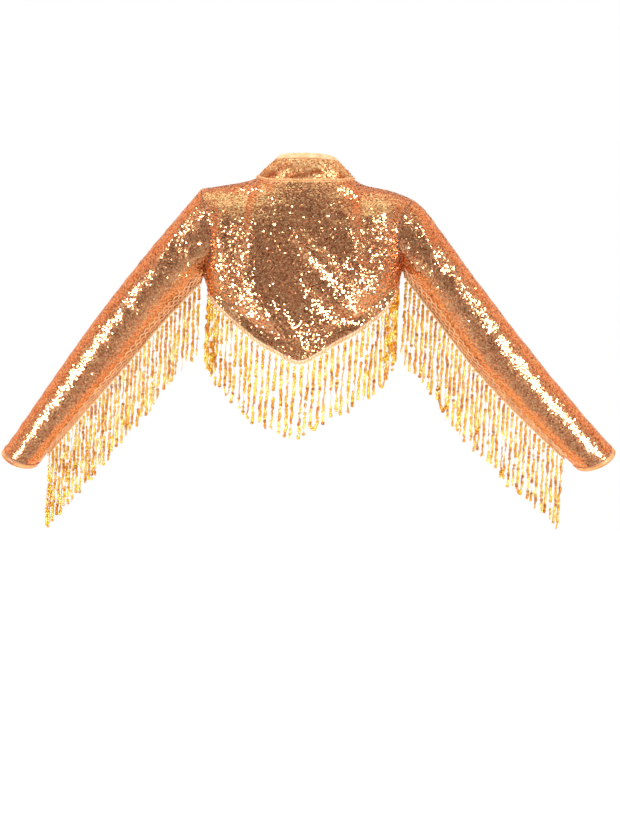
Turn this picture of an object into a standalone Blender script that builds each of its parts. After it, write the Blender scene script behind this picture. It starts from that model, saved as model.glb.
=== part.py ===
"""Cropped sequin shrug with hanging sequin fringe, each cut piece as one closed solid.

Metres. +X is the photo's right, +Y leads away from the photo's camera, +Z is up.
The origin is the neck base between the shoulders. The garment's back faces -Y.
"""

import bisect
import math
import random
from collections import namedtuple

import bmesh
import bpy
from mathutils import Vector

# Cloth and seams. A seam's rim is stretched at most RIM_STRETCH times to keep its wall;
# SLEEVE_END_RATE is how far a sleeve runs per whole station near its cuff.
WALL = 0.0015
SEAM_GAP = 0.0005
COLLAR_GAP = 0.0009
CUFF_LENGTH = 0.010
CUFF_PROUD = 0.0004
SLEEVE_END_RATE = 0.66
RIM_STRETCH = 1.8
BODY_MIDDLE = Vector((0.0, 0.0, -0.12))
COLLAR_MIDDLE = Vector((0.0, 0.0, 0.03))

# Fringe: a narrow header strip with free hanging strands
HEADER_HEIGHT = 0.0075
HEADER_THICKNESS = 0.0016
HEADER_GAP = 0.0009
STRAND_WIDTH = 0.0032
STRAND_DEPTH = 0.0022
STRAND_LEAN = -0.058
STRAND_SWAY = 0.0022
STRAND_STEPS = (0.06, 0.30, 0.54, 0.78, 1.0)
STRAND_LENGTH_SPREAD = (0.95, 1.04)
STRAND_WAVE = 4.0
FRAME_STEP = 0.004

# Mesh resolution
SLEEVE_RINGS = 24
SLEEVE_SIDES = 30
BACK_COLUMNS = 32
FRONT_COLUMNS = 8
PANEL_ROWS = 16
COLLAR_COLUMNS = 27
COLLAR_ROWS = 4
CUFF_RINGS = 2

# Each row: where the ring's shoulder line and its under line run, and the ring's depth
Ring = namedtuple("Ring", "t top_x top_z under_x under_z axis_y half_depth")
SLEEVE_LEFT = (
    Ring(0.00, -0.1851, 0.0018, -0.1816, -0.1530, 0.000, 0.062),
    Ring(0.25, -0.2790, -0.1090, -0.2474, -0.2221, 0.010, 0.058),
    Ring(0.50, -0.3735, -0.2240, -0.3190, -0.3017, 0.036, 0.050),
    Ring(0.75, -0.4674, -0.3459, -0.4055, -0.3948, 0.082, 0.042),
    Ring(1.00, -0.5650, -0.4755, -0.5030, -0.5015, 0.136, 0.036),
)
SLEEVE_RIGHT = (
    Ring(0.00, 0.1905, -0.0178, 0.1709, -0.1430, 0.000, 0.060),
    Ring(0.06, 0.2135, -0.0390, 0.1859, -0.1629, 0.001, 0.060),
    Ring(0.25, 0.2795, -0.1292, 0.2340, -0.2262, 0.010, 0.057),
    Ring(0.50, 0.3691, -0.2428, 0.3044, -0.3147, 0.036, 0.050),
    Ring(0.75, 0.4668, -0.3571, 0.3950, -0.4067, 0.082, 0.043),
    Ring(1.00, 0.5735, -0.4735, 0.5055, -0.5070, 0.136, 0.038),
)

# Sleeve stations: the step that gives the axis, and where a ring has turned square to it
AXIS_STEP = 0.02
SQUARE_FROM = 0.20
SLEEVE_FOLDS_FROM = 0.03

# How far the armhole seam runs in toward the body above and below its middle, and the
# station where the sleeve has lost that bow
Bow = namedtuple("Bow", "upper lower reach")
BOW_LEFT = Bow(0.004, 0.027, 0.22)
BOW_RIGHT = Bow(-0.022, -0.017, 0.22)

# Shoulder seams from the armhole to the neck
Seam = namedtuple("Seam", "s x y z")
SHOULDER_LEFT = (
    Seam(0.0, -0.1851, 0.000, 0.0018),
    Seam(0.4, -0.1480, 0.002, 0.0076),
    Seam(0.8, -0.1060, 0.006, 0.0158),
    Seam(1.0, -0.0873, 0.008, 0.0218),
)
SHOULDER_RIGHT = (
    Seam(0.0, 0.1905, 0.000, -0.0178),
    Seam(0.4, 0.1490, 0.002, -0.0015),
    Seam(0.8, 0.1040, 0.006, 0.0090),
    Seam(1.0, 0.0853, 0.008, 0.0190),
)

# Neck seam and collar top as loops round the neck; the turn is 0 at the back
Neck = namedtuple("Neck", "turn base_z top_z")
NECK = (
    Neck(-125.0, 0.0040, 0.0440),
    Neck(-90.0, 0.0218, 0.0570),
    Neck(-45.0, 0.0130, 0.0605),
    Neck(0.0, 0.0105, 0.0606),
    Neck(45.0, 0.0125, 0.0580),
    Neck(90.0, 0.0190, 0.0516),
    Neck(125.0, 0.0020, 0.0400),
)
NECK_CENTRE_X = -0.0010
NECK_CENTRE_Y = 0.008
NECK_HALF_X = 0.0863
NECK_HALF_Y = 0.070
COLLAR_TOP_X = 0.0028
COLLAR_TOP_Y = -0.002
COLLAR_HALF_X = 0.0520
COLLAR_HALF_Y = 0.048
COLLAR_SWELL = 0.001
COLLAR_RIDGE = 0.003
RIDGE_AT = 0.35
RIDGE_WIDTH = 0.18
NECK_SHARE = 0.25
OPENING_SHARE = 0.25

# Pointed back hem, and the body's plan at that hem
Hem = namedtuple("Hem", "x z")
HEM = (
    Hem(-0.1760, -0.1680),
    Hem(-0.1670, -0.1880),
    Hem(-0.1380, -0.2193),
    Hem(-0.1100, -0.2434),
    Hem(-0.0820, -0.2657),
    Hem(-0.0546, -0.2811),
    Hem(-0.0117, -0.3010),
    Hem(0.0277, -0.2828),
    Hem(0.0551, -0.2657),
    Hem(0.0827, -0.2520),
    Hem(0.1104, -0.2331),
    Hem(0.1384, -0.2100),
    Hem(0.1563, -0.1850),
    Hem(0.1665, -0.1570),
)
BODY_BACK = 0.105
BODY_ROUND = 2.3
NECK_FILL = 0.60

# Front opening edge from the neck side down, then the front hem back to the side seam
OPENING_LEFT = (
    Seam(0.25, -0.0717, 0.0482, 0.0040),
    Seam(0.50, -0.0770, 0.077, -0.0520),
    Seam(0.78, -0.0930, 0.096, -0.1250),
    Seam(1.00, -0.1320, 0.090, -0.1810),
)
FRONT_HEM_LEFT = (
    Seam(0.00, -0.1760, 0.000, -0.1680),
    Seam(0.45, -0.1660, 0.045, -0.1810),
    Seam(1.00, -0.1320, 0.090, -0.1810),
)
OPENING_RIGHT = (
    Seam(0.25, 0.0697, 0.0482, 0.0020),
    Seam(0.50, 0.0750, 0.077, -0.0540),
    Seam(0.78, 0.0910, 0.096, -0.1250),
    Seam(1.00, 0.1260, 0.090, -0.1750),
)
FRONT_HEM_RIGHT = (
    Seam(0.00, 0.1665, 0.000, -0.1570),
    Seam(0.45, 0.1570, 0.045, -0.1720),
    Seam(1.00, 0.1260, 0.090, -0.1750),
)

# Soft folds of the cloth as seen from behind: a line, its half width and its height
Fold = namedtuple("Fold", "x0 z0 x1 z1 width height")
FOLD_ENDS = 0.45
FOLD_SIDE_MARGIN = 0.06
FOLD_TOP_MARGIN = 0.08
SLOPE_STEP = 0.004
BACK_FOLDS = (
    Fold(-0.010, -0.100, 0.078, -0.197, 0.010, 0.0045),
    Fold(0.000, -0.172, 0.100, -0.236, 0.009, 0.0045),
    Fold(0.070, -0.130, 0.122, -0.168, 0.009, 0.0040),
    Fold(-0.144, -0.045, -0.160, -0.168, 0.010, 0.0040),
    Fold(-0.126, -0.134, -0.030, -0.272, 0.011, 0.0035),
    Fold(-0.060, -0.050, 0.060, -0.054, 0.010, -0.0030),
)
LEFT_FOLDS = (
    Fold(-0.213, -0.116, -0.188, -0.098, 0.006, -0.0040),
    Fold(-0.197, -0.027, -0.260, -0.134, 0.007, 0.0035),
    Fold(-0.214, -0.107, -0.214, -0.128, 0.006, 0.0035),
    Fold(-0.330, -0.190, -0.300, -0.225, 0.008, -0.0025),
)
RIGHT_FOLDS = (
    Fold(0.250, -0.116, 0.215, -0.128, 0.006, -0.0040),
    Fold(0.268, -0.142, 0.236, -0.155, 0.006, -0.0035),
    Fold(0.200, -0.060, 0.235, -0.150, 0.008, 0.0030),
    Fold(0.345, -0.240, 0.315, -0.262, 0.008, -0.0025),
)

# Fringe lengths along each header, from its first strand to its last
Length = namedtuple("Length", "s length")
FRINGE_LEFT = (Length(0.0, 0.122), Length(0.5, 0.137), Length(1.0, 0.142))
FRINGE_RIGHT = (Length(0.0, 0.137), Length(0.5, 0.134), Length(1.0, 0.130))
FRINGE_HEM = (
    Length(0.0, 0.124),
    Length(0.25, 0.134),
    Length(0.5, 0.123),
    Length(0.8, 0.127),
    Length(1.0, 0.132),
)
SLEEVE_STRANDS = 37
HEM_STRANDS = 40
SLEEVE_FRINGE_SPAN = (0.012, 0.945)
HEM_FRINGE_SPAN = (0.045, 0.962)

Finish = namedtuple("Finish", "colour metallic roughness")
COPPER = Finish((0.42, 0.17, 0.08, 1.0), 0.8, 0.35)
GOLD = Finish((0.78, 0.42, 0.10, 1.0), 0.8, 0.35)
PALE = Finish((0.80, 0.56, 0.36, 1.0), 0.1, 0.60)


def slope(rows, k, column):
    """Return a table column's slope at row k, from the rows beside it."""
    before, after = rows[max(k - 1, 0)], rows[min(k + 1, len(rows) - 1)]
    return (after[column] - before[column]) / (after[0] - before[0])


def spline(rows, knot):
    """Return a table's other columns where its first one is knot, on smooth curves."""
    knots = [row[0] for row in rows]
    low = min(max(bisect.bisect_right(knots, knot) - 1, 0), len(rows) - 2)
    step = knots[low + 1] - knots[low]
    s = (knot - knots[low]) / step
    rise = 3 * s**2 - 2 * s**3
    values = []
    for column in range(1, len(rows[0])):
        value = rows[low][column] * (1 - rise) + rows[low + 1][column] * rise
        value += slope(rows, low, column) * step * (s**3 - 2 * s**2 + s)
        value += slope(rows, low + 1, column) * step * (s**3 - s**2)
        values.append(value)
    return tuple(values)


def fold_height(folds, point):
    """Return how far the folds lift the cloth at a point, from its place seen from behind."""
    height = 0.0
    spot = Vector((point.x, point.z))
    for fold in folds:
        start = Vector((fold.x0, fold.z0))
        along = Vector((fold.x1, fold.z1)) - start
        share = min(max((spot - start).dot(along) / along.length_squared, 0.0), 1.0)
        distance = (spot - start - along * share).length
        fade = FOLD_ENDS + (1.0 - FOLD_ENDS) * math.sin(math.pi * share)
        height += fold.height * fade * math.exp(-((distance / fold.width) ** 2))
    return height


class Sleeve:
    """A sleeve tube: rings from the armhole seam down to the cuff."""

    def __init__(self, rings, bow, folds):
        self.rings = rings
        self.bow = bow
        self.folds = folds

    def centre(self, t):
        """Return the middle of the ring at t."""
        top_x, top_z, under_x, under_z, axis_y, _ = spline(self.rings, t)
        return Vector(((top_x + under_x) / 2, axis_y, (top_z + under_z) / 2))

    def smooth_point(self, t, turn):
        """Return the unfolded surface at t; the turn is 0 on top and runs to the front."""
        top_x, top_z, under_x, under_z, axis_y, half_depth = spline(self.rings, t)
        centre = Vector(((top_x + under_x) / 2, axis_y, (top_z + under_z) / 2))
        half = Vector(((top_x - under_x) / 2, 0.0, (top_z - under_z) / 2))
        start = min(t, 1.0 - AXIS_STEP)
        across = (self.centre(start + AXIS_STEP) - self.centre(start)).cross(half).normalized()
        if across.y < 0.0:
            across = -across
        straight = Vector((0.0, 1.0, 0.0))
        forward = straight.lerp(across, min(t / SQUARE_FROM, 1.0)).normalized()
        sine, cosine = math.sin(turn), math.cos(turn)
        above = (1.0 + cosine) / 2.0
        inward = sine**2 * (self.bow.upper * above + self.bow.lower * (1.0 - above))
        near = max(0.0, 1.0 - t / self.bow.reach) ** 2
        return centre + half * cosine + forward * half_depth * sine + Vector((inward * near, 0, 0))

    def point(self, t, turn):
        """Return the folded surface at t and turn."""
        place = self.smooth_point(t, turn)
        outward = (place - self.centre(t)).normalized()
        behind = max(0.0, -math.sin(turn))
        fade = min(1.0, t / SLEEVE_FOLDS_FROM) * behind
        return place + outward * fold_height(self.folds, place) * fade


LEFT_SLEEVE = Sleeve(SLEEVE_LEFT, BOW_LEFT, LEFT_FOLDS)
RIGHT_SLEEVE = Sleeve(SLEEVE_RIGHT, BOW_RIGHT, RIGHT_FOLDS)
UNDERARM_ROW = 1.0 - 1.0 / PANEL_ROWS


def neck_point(turn_degrees):
    """Return the neck seam at a turn about the neck, 0 at the back."""
    base_z, _ = spline(NECK, turn_degrees)
    turn = math.radians(turn_degrees)
    x = NECK_CENTRE_X + NECK_HALF_X * math.sin(turn)
    y = NECK_CENTRE_Y - NECK_HALF_Y * math.cos(turn)
    return Vector((x, y, base_z))


def collar_top_point(turn_degrees):
    """Return the collar's top edge at a turn about the neck, 0 at the back."""
    _, top_z = spline(NECK, turn_degrees)
    turn = math.radians(turn_degrees)
    x = COLLAR_TOP_X + COLLAR_HALF_X * math.sin(turn)
    y = COLLAR_TOP_Y - COLLAR_HALF_Y * math.cos(turn)
    return Vector((x, y, top_z))


def side_curve(sleeve, v, facing, corner):
    """Return a body panel's side: half the armhole, then the short side seam."""
    under = sleeve.smooth_point(0.0, math.pi)
    if v <= UNDERARM_ROW:
        return sleeve.smooth_point(0.0, facing * math.pi * v / UNDERARM_ROW)
    return under.lerp(corner, (v - UNDERARM_ROW) / (1.0 - UNDERARM_ROW))


def coons(top, bottom, first, last, u, v):
    """Blend four border curves into one surface that meets them all."""
    across = first(v).lerp(last(v), u)
    down = top(u).lerp(bottom(u), v)
    corners = top(0.0).lerp(top(1.0), u).lerp(bottom(0.0).lerp(bottom(1.0), u), v)
    return across + down - corners


def back_top(u):
    """Return the back's top edge: shoulder seam, neck seam, shoulder seam."""
    if u < NECK_SHARE:
        return Vector(spline(SHOULDER_LEFT, u / NECK_SHARE))
    if u > 1.0 - NECK_SHARE:
        return Vector(spline(SHOULDER_RIGHT, (1.0 - u) / NECK_SHARE))
    return neck_point(180.0 * (u - NECK_SHARE) / (1.0 - 2.0 * NECK_SHARE) - 90.0)


def back_hem(u):
    """Return the pointed hem, which wraps from underarm to underarm."""
    middle = (HEM[0].x + HEM[-1].x) / 2
    half = (HEM[-1].x - HEM[0].x) / 2
    turn = math.pi * u
    cosine, sine = math.cos(turn), math.sin(turn)
    squareness = (abs(cosine) ** BODY_ROUND + abs(sine) ** BODY_ROUND) ** (-1.0 / BODY_ROUND)
    x = middle - half * cosine * squareness
    y = -BODY_BACK * abs(sine) * squareness
    return Vector((x, y, spline(HEM, x)[0]))


def back_smooth(u, v):
    """Return the back panel without its folds."""

    def left(row):
        return side_curve(LEFT_SLEEVE, row, -1.0, back_hem(0.0))

    def right(row):
        return side_curve(RIGHT_SLEEVE, row, -1.0, back_hem(1.0))

    place = coons(back_top, back_hem, left, right, u, v)
    place.y -= NECK_FILL * min(back_top(u).y, 0.0) * math.sin(math.pi * v)
    return place


def back_point(u, v):
    """Return the back panel with its folds lifted along the cloth's outward side."""
    place = back_smooth(u, v)
    across = back_smooth(min(u + SLOPE_STEP, 1.0), v) - back_smooth(max(u - SLOPE_STEP, 0.0), v)
    down = back_smooth(u, min(v + SLOPE_STEP, 1.0)) - back_smooth(u, max(v - SLOPE_STEP, 0.0))
    outward = down.cross(across).normalized()
    edge = min(1.0, u / FOLD_SIDE_MARGIN, (1.0 - u) / FOLD_SIDE_MARGIN, v / FOLD_TOP_MARGIN)
    return place + outward * fold_height(BACK_FOLDS, place) * edge


def opening_edge(opening, v):
    """Return a front's free edge: along the neck seam first, then down the opening."""
    if v >= OPENING_SHARE:
        return Vector(spline(opening, v))
    side = math.copysign(1.0, opening[0].x)
    return neck_point(side * (90.0 + (NECK[-1].turn - 90.0) * v / OPENING_SHARE))


def front_point(sleeve, shoulder, opening, hem, u, v):
    """Return a front panel; u runs from the armhole to the opening edge."""

    def top(s):
        return Vector(spline(shoulder, s))

    def bottom(s):
        return Vector(spline(hem, s))

    def side(row):
        return side_curve(sleeve, row, 1.0, bottom(0.0))

    def edge(row):
        return opening_edge(opening, row)

    return coons(top, bottom, side, edge, u, v)


def collar_point(u, v):
    """Return the stand collar; v runs from the neck seam up to the top edge."""
    turn = NECK[0].turn + (NECK[-1].turn - NECK[0].turn) * u
    base = neck_point(turn) + Vector((0.0, 0.0, COLLAR_GAP))
    top = collar_top_point(turn)
    place = base.lerp(top, v)
    outward = Vector((math.sin(math.radians(turn)), -math.cos(math.radians(turn)), 0.0))
    behind = max(0.0, math.cos(math.radians(turn)))
    ridge = COLLAR_RIDGE * math.exp(-(((v - RIDGE_AT) / RIDGE_WIDTH) ** 2)) * behind
    return place + outward * (COLLAR_SWELL * math.sin(math.pi * v) + ridge)


def new_object(name, bm, finish):
    """Turn a closed mesh into a named object with its own material."""
    bmesh.ops.recalc_face_normals(bm, faces=bm.faces[:])
    mesh = bpy.data.meshes.new(name)
    bm.to_mesh(mesh)
    bm.free()
    obj = bpy.data.objects.new(name, mesh)
    material = bpy.data.materials.new(name)
    material.use_nodes = True
    shader = material.node_tree.nodes["Principled BSDF"]
    shader.inputs["Base Color"].default_value = finish.colour
    shader.inputs["Metallic"].default_value = finish.metallic
    shader.inputs["Roughness"].default_value = finish.roughness
    obj.data.materials.append(material)
    bpy.data.collections["Sequin fringe shrug"].objects.link(obj)
    return obj


def grid_surface(columns, rows, place):
    """Make a bmesh grid and move each point to place(u, v), u and v from 0 to 1.

    Each point keeps its column and row numbers in whole-number layers.
    """
    bm = bmesh.new()
    bmesh.ops.create_grid(bm, x_segments=columns, y_segments=rows, size=0.5)
    column = bm.verts.layers.int.new("column")
    row = bm.verts.layers.int.new("row")
    for vert in bm.verts:
        vert[column] = round((vert.co.x + 0.5) * columns)
        vert[row] = round((vert.co.y + 0.5) * rows)
        vert.co = place(vert[column] / columns, vert[row] / rows)
    return bm


def thicken(bm, middle, inward):
    """Give a surface its wall: an inner copy, joined at the rims.

    inward(step, column, row) returns a point's step from the outer to the inner face,
    from the plain step along the cloth's normal and the point's place in the grid.
    """
    bm.normal_update()
    lean = sum((vert.co - middle).dot(vert.normal) for vert in bm.verts)
    if lean < 0.0:
        bmesh.ops.reverse_faces(bm, faces=bm.faces[:])
        bm.normal_update()
    column = bm.verts.layers.int["column"]
    row = bm.verts.layers.int["row"]
    steps = {}
    for vert in bm.verts:
        steps[vert[column], vert[row]] = inward(-vert.normal * WALL, vert[column], vert[row])
    made = bmesh.ops.extrude_face_region(bm, geom=bm.faces[:], use_keep_orig=True)
    for item in made["geom"]:
        if isinstance(item, bmesh.types.BMVert):
            item.co += steps[item[column], item[row]]


def plain_step(step, _column, _row):
    """Return the step along the normal unchanged."""
    return step


def tube_surface(sleeve, start, end, rings, proud):
    """Make the outer face of a sleeve or cuff between two stations."""

    def place(u, v):
        t = start + (end - start) * v
        turn = 2.0 * math.pi * u
        point = sleeve.point(t, turn)
        return point + (point - sleeve.centre(t)).normalized() * proud

    bm = grid_surface(SLEEVE_SIDES, rings, place)
    bmesh.ops.remove_doubles(bm, verts=bm.verts[:], dist=0.00001)
    return bm


def sleeve_end():
    """Return the station where a sleeve stops and its cuff begins."""
    return 1.0 - CUFF_LENGTH / SLEEVE_END_RATE


def build_sleeve(name, sleeve, side):
    """Build a sleeve whose armhole rim stays clear of the body panels."""
    bm = tube_surface(sleeve, 0.0, sleeve_end(), SLEEVE_RINGS, 0.0)

    def inward(step, _column, row):
        if row > 0 or step.x * side > 0.0:
            return step
        flat = Vector((0.0, step.y, step.z))
        return flat * min(WALL**2 / flat.length_squared, RIM_STRETCH)

    thicken(bm, sleeve.centre(0.5), inward)
    return new_object(name, bm, COPPER)


def build_cuff(name, sleeve):
    """Build the narrow hem band at the sleeve's end."""
    start = sleeve_end() + SEAM_GAP / SLEEVE_END_RATE
    bm = tube_surface(sleeve, start, 1.0, CUFF_RINGS, CUFF_PROUD)
    thicken(bm, sleeve.centre(0.95), plain_step)
    return new_object(name, bm, PALE)


def clear_of_seams(point, u, v, facing, side):
    """Move a panel's border off the seam lines that it shares with its neighbours."""
    place = point.copy()
    if side == 0.0:
        if u < 0.001:
            place.x += SEAM_GAP
        elif u > 0.999:
            place.x -= SEAM_GAP
    elif u < 0.001:
        place.x -= side * SEAM_GAP
    near_seam = u < 0.001 or (side == 0.0 and u > 0.999) or v < 0.001
    if near_seam:
        place.y += facing * SEAM_GAP / 2
    return place


def panel_step(facing):
    """Return the inward step of a body panel that faces -1 backward or 1 forward.

    The inner face neither dips below the hem nor crosses the shoulder seam.
    """

    def inward(step, _column, row):
        if row == PANEL_ROWS:
            step.z = max(step.z, 0.0)
        if row == 0 and step.y * facing < 0.0:
            step.y = 0.0
        return step

    return inward


def build_back():
    """Build the back panel with its pointed hem."""

    def place(u, v):
        return clear_of_seams(back_point(u, v), u, v, -1.0, 0.0)

    bm = grid_surface(BACK_COLUMNS, PANEL_ROWS, place)
    thicken(bm, BODY_MIDDLE, panel_step(-1.0))
    return new_object("back", bm, COPPER)


def build_front(name, sleeve, shoulder, opening, hem, side):
    """Build one front panel."""

    def place(u, v):
        point = front_point(sleeve, shoulder, opening, hem, u, v)
        return clear_of_seams(point, u, v, 1.0, side)

    bm = grid_surface(FRONT_COLUMNS, PANEL_ROWS, place)
    thicken(bm, BODY_MIDDLE, panel_step(1.0))
    return new_object(name, bm, COPPER)


def build_collar():
    """Build the stand collar, open at the front."""
    bm = grid_surface(COLLAR_COLUMNS, COLLAR_ROWS, collar_point)

    def inward(step, _column, row):
        if row == 0:
            step.z = max(step.z, 0.0)
        return step

    thicken(bm, COLLAR_MIDDLE, inward)
    return new_object("collar", bm, COPPER)


def build_fringe(name, header, strands, span, lengths, seed):
    """Build a header strip and pull its strands down out of the strip's lower rim.

    header(s) gives the header's top edge for s from 0 to 1.
    """
    sway = random.Random(seed)
    first, last = span
    roots = [first + (last - first) * (k + 0.5) / strands for k in range(strands)]
    stations = [first]
    for root in roots:
        ahead = header(root + FRAME_STEP) - header(root - FRAME_STEP)
        half_share = STRAND_WIDTH * FRAME_STEP / ahead.xy.length
        stations += [root - half_share, root + half_share]
    stations.append(last)

    def frame(s):
        along = header(s + FRAME_STEP) - header(s - FRAME_STEP)
        along = Vector((along.x, along.y, 0.0)).normalized()
        return header(s), along, along.cross(Vector((0.0, 0.0, 1.0)))

    bm = bmesh.new()
    bmesh.ops.create_grid(bm, x_segments=len(stations) - 1, y_segments=1, size=0.5)
    column = bm.verts.layers.int.new("column")
    lower = bm.verts.layers.int.new("lower")
    layer = bm.verts.layers.int.new("layer")
    for vert in bm.verts:
        index = round((vert.co.x + 0.5) * (len(stations) - 1))
        vert[column] = index
        vert[lower] = 1 if vert.co.y < 0.0 else 0
        top, _, across = frame(stations[index])
        drop = HEADER_HEIGHT if vert[lower] else 0.0
        vert.co = top + across * HEADER_THICKNESS / 2 - Vector((0.0, 0.0, drop))
    made = bmesh.ops.extrude_face_region(bm, geom=bm.faces[:], use_keep_orig=True)
    for item in made["geom"]:
        if isinstance(item, bmesh.types.BMVert):
            item[layer] = 1
            item.co -= frame(stations[item[column]])[2] * HEADER_THICKNESS
    undersides = {}
    for face in bm.faces:
        columns = {vert[column] for vert in face.verts}
        if all(vert[lower] for vert in face.verts) and min(columns) % 2 == 1:
            undersides[min(columns)] = face
    for k, root in enumerate(roots):
        face = undersides[2 * k + 1]
        top, along, across = frame(root)
        start = top - Vector((0.0, 0.0, HEADER_HEIGHT))
        length = spline(lengths, k / (strands - 1))[0] * sway.uniform(*STRAND_LENGTH_SPREAD)
        phase = sway.uniform(0.0, 2.0 * math.pi)
        swing = STRAND_SWAY * sway.uniform(-0.5, 0.5)
        for step in STRAND_STEPS:
            face = bmesh.ops.extrude_discrete_faces(bm, faces=[face])["faces"][0]
            wave = math.sin(phase + STRAND_WAVE * step) - math.sin(phase)
            centre = start - Vector((0.0, 0.0, length * step))
            centre.x += step * (STRAND_LEAN * length + STRAND_SWAY * wave / 2)
            centre.y += step * swing
            for vert in face.verts:
                end = 1.0 if vert[column] > 2 * k + 1 else -1.0
                side = -1.0 if vert[layer] else 1.0
                corner = along * end * STRAND_WIDTH / 2 + across * side * STRAND_DEPTH / 2
                vert.co = centre + corner
    return new_object(name, bm, GOLD)


def line_through(points):
    """Return a function from a share of the length to a place on the line through points."""
    spans = [(after - before).length for before, after in zip(points, points[1:])]
    reached = [sum(spans[:k]) / sum(spans) for k in range(len(points))]

    def line(s):
        low = min(max(bisect.bisect_right(reached, s) - 1, 0), len(spans) - 1)
        share = (s - reached[low]) / (reached[low + 1] - reached[low])
        return points[low].lerp(points[low + 1], share)

    return line


def sleeve_header(sleeve):
    """Return the header line just under a sleeve's under seam."""
    stations = [sleeve_end() * k / SLEEVE_RINGS for k in range(SLEEVE_RINGS + 1)]
    drop = Vector((0.0, 0.0, HEADER_GAP))
    return line_through([sleeve.smooth_point(t, math.pi) - drop for t in stations])


def hem_header():
    """Return the header line just under the back hem, in the middle of the wall."""
    points = []
    for k in range(BACK_COLUMNS + 1):
        place = back_point(k / BACK_COLUMNS, 1.0)
        inside = Vector((-place.x, -place.y, 0.0)).normalized()
        points.append(place + inside * WALL / 2 - Vector((0.0, 0.0, HEADER_GAP)))
    return line_through(points)


def main():
    """Clear the scene and build every piece."""
    for obj in list(bpy.data.objects):
        bpy.data.objects.remove(obj, do_unlink=True)
    group = bpy.data.collections.new("Sequin fringe shrug")
    bpy.context.scene.collection.children.link(group)
    build_back()
    build_front("front_left", LEFT_SLEEVE, SHOULDER_LEFT, OPENING_LEFT, FRONT_HEM_LEFT, -1.0)
    build_front("front_right", RIGHT_SLEEVE, SHOULDER_RIGHT, OPENING_RIGHT, FRONT_HEM_RIGHT, 1.0)
    build_collar()
    build_sleeve("sleeve_left", LEFT_SLEEVE, -1.0)
    build_sleeve("sleeve_right", RIGHT_SLEEVE, 1.0)
    build_cuff("cuff_left", LEFT_SLEEVE)
    build_cuff("cuff_right", RIGHT_SLEEVE)
    build_fringe("fringe_hem", hem_header(), HEM_STRANDS, HEM_FRINGE_SPAN, FRINGE_HEM, 3)
    build_fringe("fringe_sleeve_left", sleeve_header(LEFT_SLEEVE), SLEEVE_STRANDS,
                 SLEEVE_FRINGE_SPAN, FRINGE_LEFT, 5)
    build_fringe("fringe_sleeve_right", sleeve_header(RIGHT_SLEEVE), SLEEVE_STRANDS,
                 SLEEVE_FRINGE_SPAN, FRINGE_RIGHT, 8)


main()
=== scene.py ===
"""Looks of the cropped sequin shrug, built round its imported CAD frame.

Metres, in the frame of the CAD: +X is the photograph's right, +Y leads away from its
camera and +Z is up. The garment's back faces -Y, and it keeps the form of a worn one.
"""

import bisect
import logging
import math
import random
from dataclasses import dataclass, replace
from enum import Enum
from typing import Callable, Dict, List, NamedTuple, Sequence, Tuple, Union

import bmesh
import bpy
import numpy as np
from bmesh.types import BMesh
from bpy.types import ID, Material, Mesh, Node, NodeSocket, NodeTree, Object
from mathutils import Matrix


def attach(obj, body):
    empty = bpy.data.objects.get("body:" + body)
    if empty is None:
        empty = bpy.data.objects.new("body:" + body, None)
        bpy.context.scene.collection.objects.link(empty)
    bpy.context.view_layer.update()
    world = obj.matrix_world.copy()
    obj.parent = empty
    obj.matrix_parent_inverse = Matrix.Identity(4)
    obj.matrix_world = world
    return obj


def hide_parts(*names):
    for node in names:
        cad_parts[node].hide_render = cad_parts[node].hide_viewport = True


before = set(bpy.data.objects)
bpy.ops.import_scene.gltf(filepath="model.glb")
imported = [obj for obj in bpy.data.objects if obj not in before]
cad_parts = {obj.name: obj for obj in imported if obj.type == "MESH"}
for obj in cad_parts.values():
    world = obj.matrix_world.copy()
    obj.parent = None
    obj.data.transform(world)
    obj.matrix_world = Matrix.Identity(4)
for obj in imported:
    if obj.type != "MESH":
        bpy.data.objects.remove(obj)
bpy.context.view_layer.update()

LOG = logging.getLogger("shrug")
Line = Callable[[float], np.ndarray]

# Gaps between the cloths and their trims, and half of the wall in the CAD, in metres
SEAM_GAP = 0.0005
COLLAR_GAP = 0.0009
HEADER_GAP = 0.0009
HALF_WALL = 0.00075
# The cuff's length, the metres of sleeve per unit of station there, and where the sleeve ends
CUFF_LENGTH = 0.010
SLEEVE_END_RATE = 0.66
SLEEVE_END = 1.0 - CUFF_LENGTH / SLEEVE_END_RATE
# The step that gives the sleeve's direction, and the station where its rings stand square to it
AXIS_STEP = 0.02
SQUARE_FROM = 0.20
# Where the armhole ends on a body panel's side
UNDERARM_ROW = 1.0 - 1.0 / 16.0
# What is left of a fold at its ends, and how far from a border it has its full height
FOLD_ENDS = 0.45
SLEEVE_FOLDS_FROM = 0.03
FOLD_SIDE_MARGIN = 0.06
FOLD_TOP_MARGIN = 0.08
# Steps across and down the back and the fronts
BACK_GRID = (128, 96)
FRONT_GRID = (40, 72)
# Grid points nearer than this are one point
MERGE = 0.00002
# A cord that runs steeper than this is turned by the depth instead of the height
STEEP = 0.95
# A whole turn in radians, and the range that random phases are drawn from
TURN = 2.0 * math.pi
PHASES = 6.3
# A cup sequin's half width at its back, and its depth, as shares of its diameter
CUP_BACK = 0.24
CUP_DEPTH = 0.16
# The cloth's unevenness: a height and two crossed waves, each with its rates along X, Y and Z
# and its phase
RIPPLES = (
    (0.00055, (92.0, 0.0, 131.0, 1.3), (74.0, -63.0, -88.0, 0.0)),
    (0.00022, (211.0, 0.0, -173.0, 2.1), (187.0, 239.0, 0.0, 0.4)),
)
# The collar's creases: the rate and phase of a wave round the neck, and of one up the collar
CRUMPLES = ((9.0, 1.0, 7.0, 0.5), (17.0, -0.6, 11.0, 0.0))


class Side(Enum):
    """The wearer's side, as the sign of X seen from behind."""

    LEFT = -1.0
    RIGHT = 1.0


class Held(Enum):
    HUNG = "hung"


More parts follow.
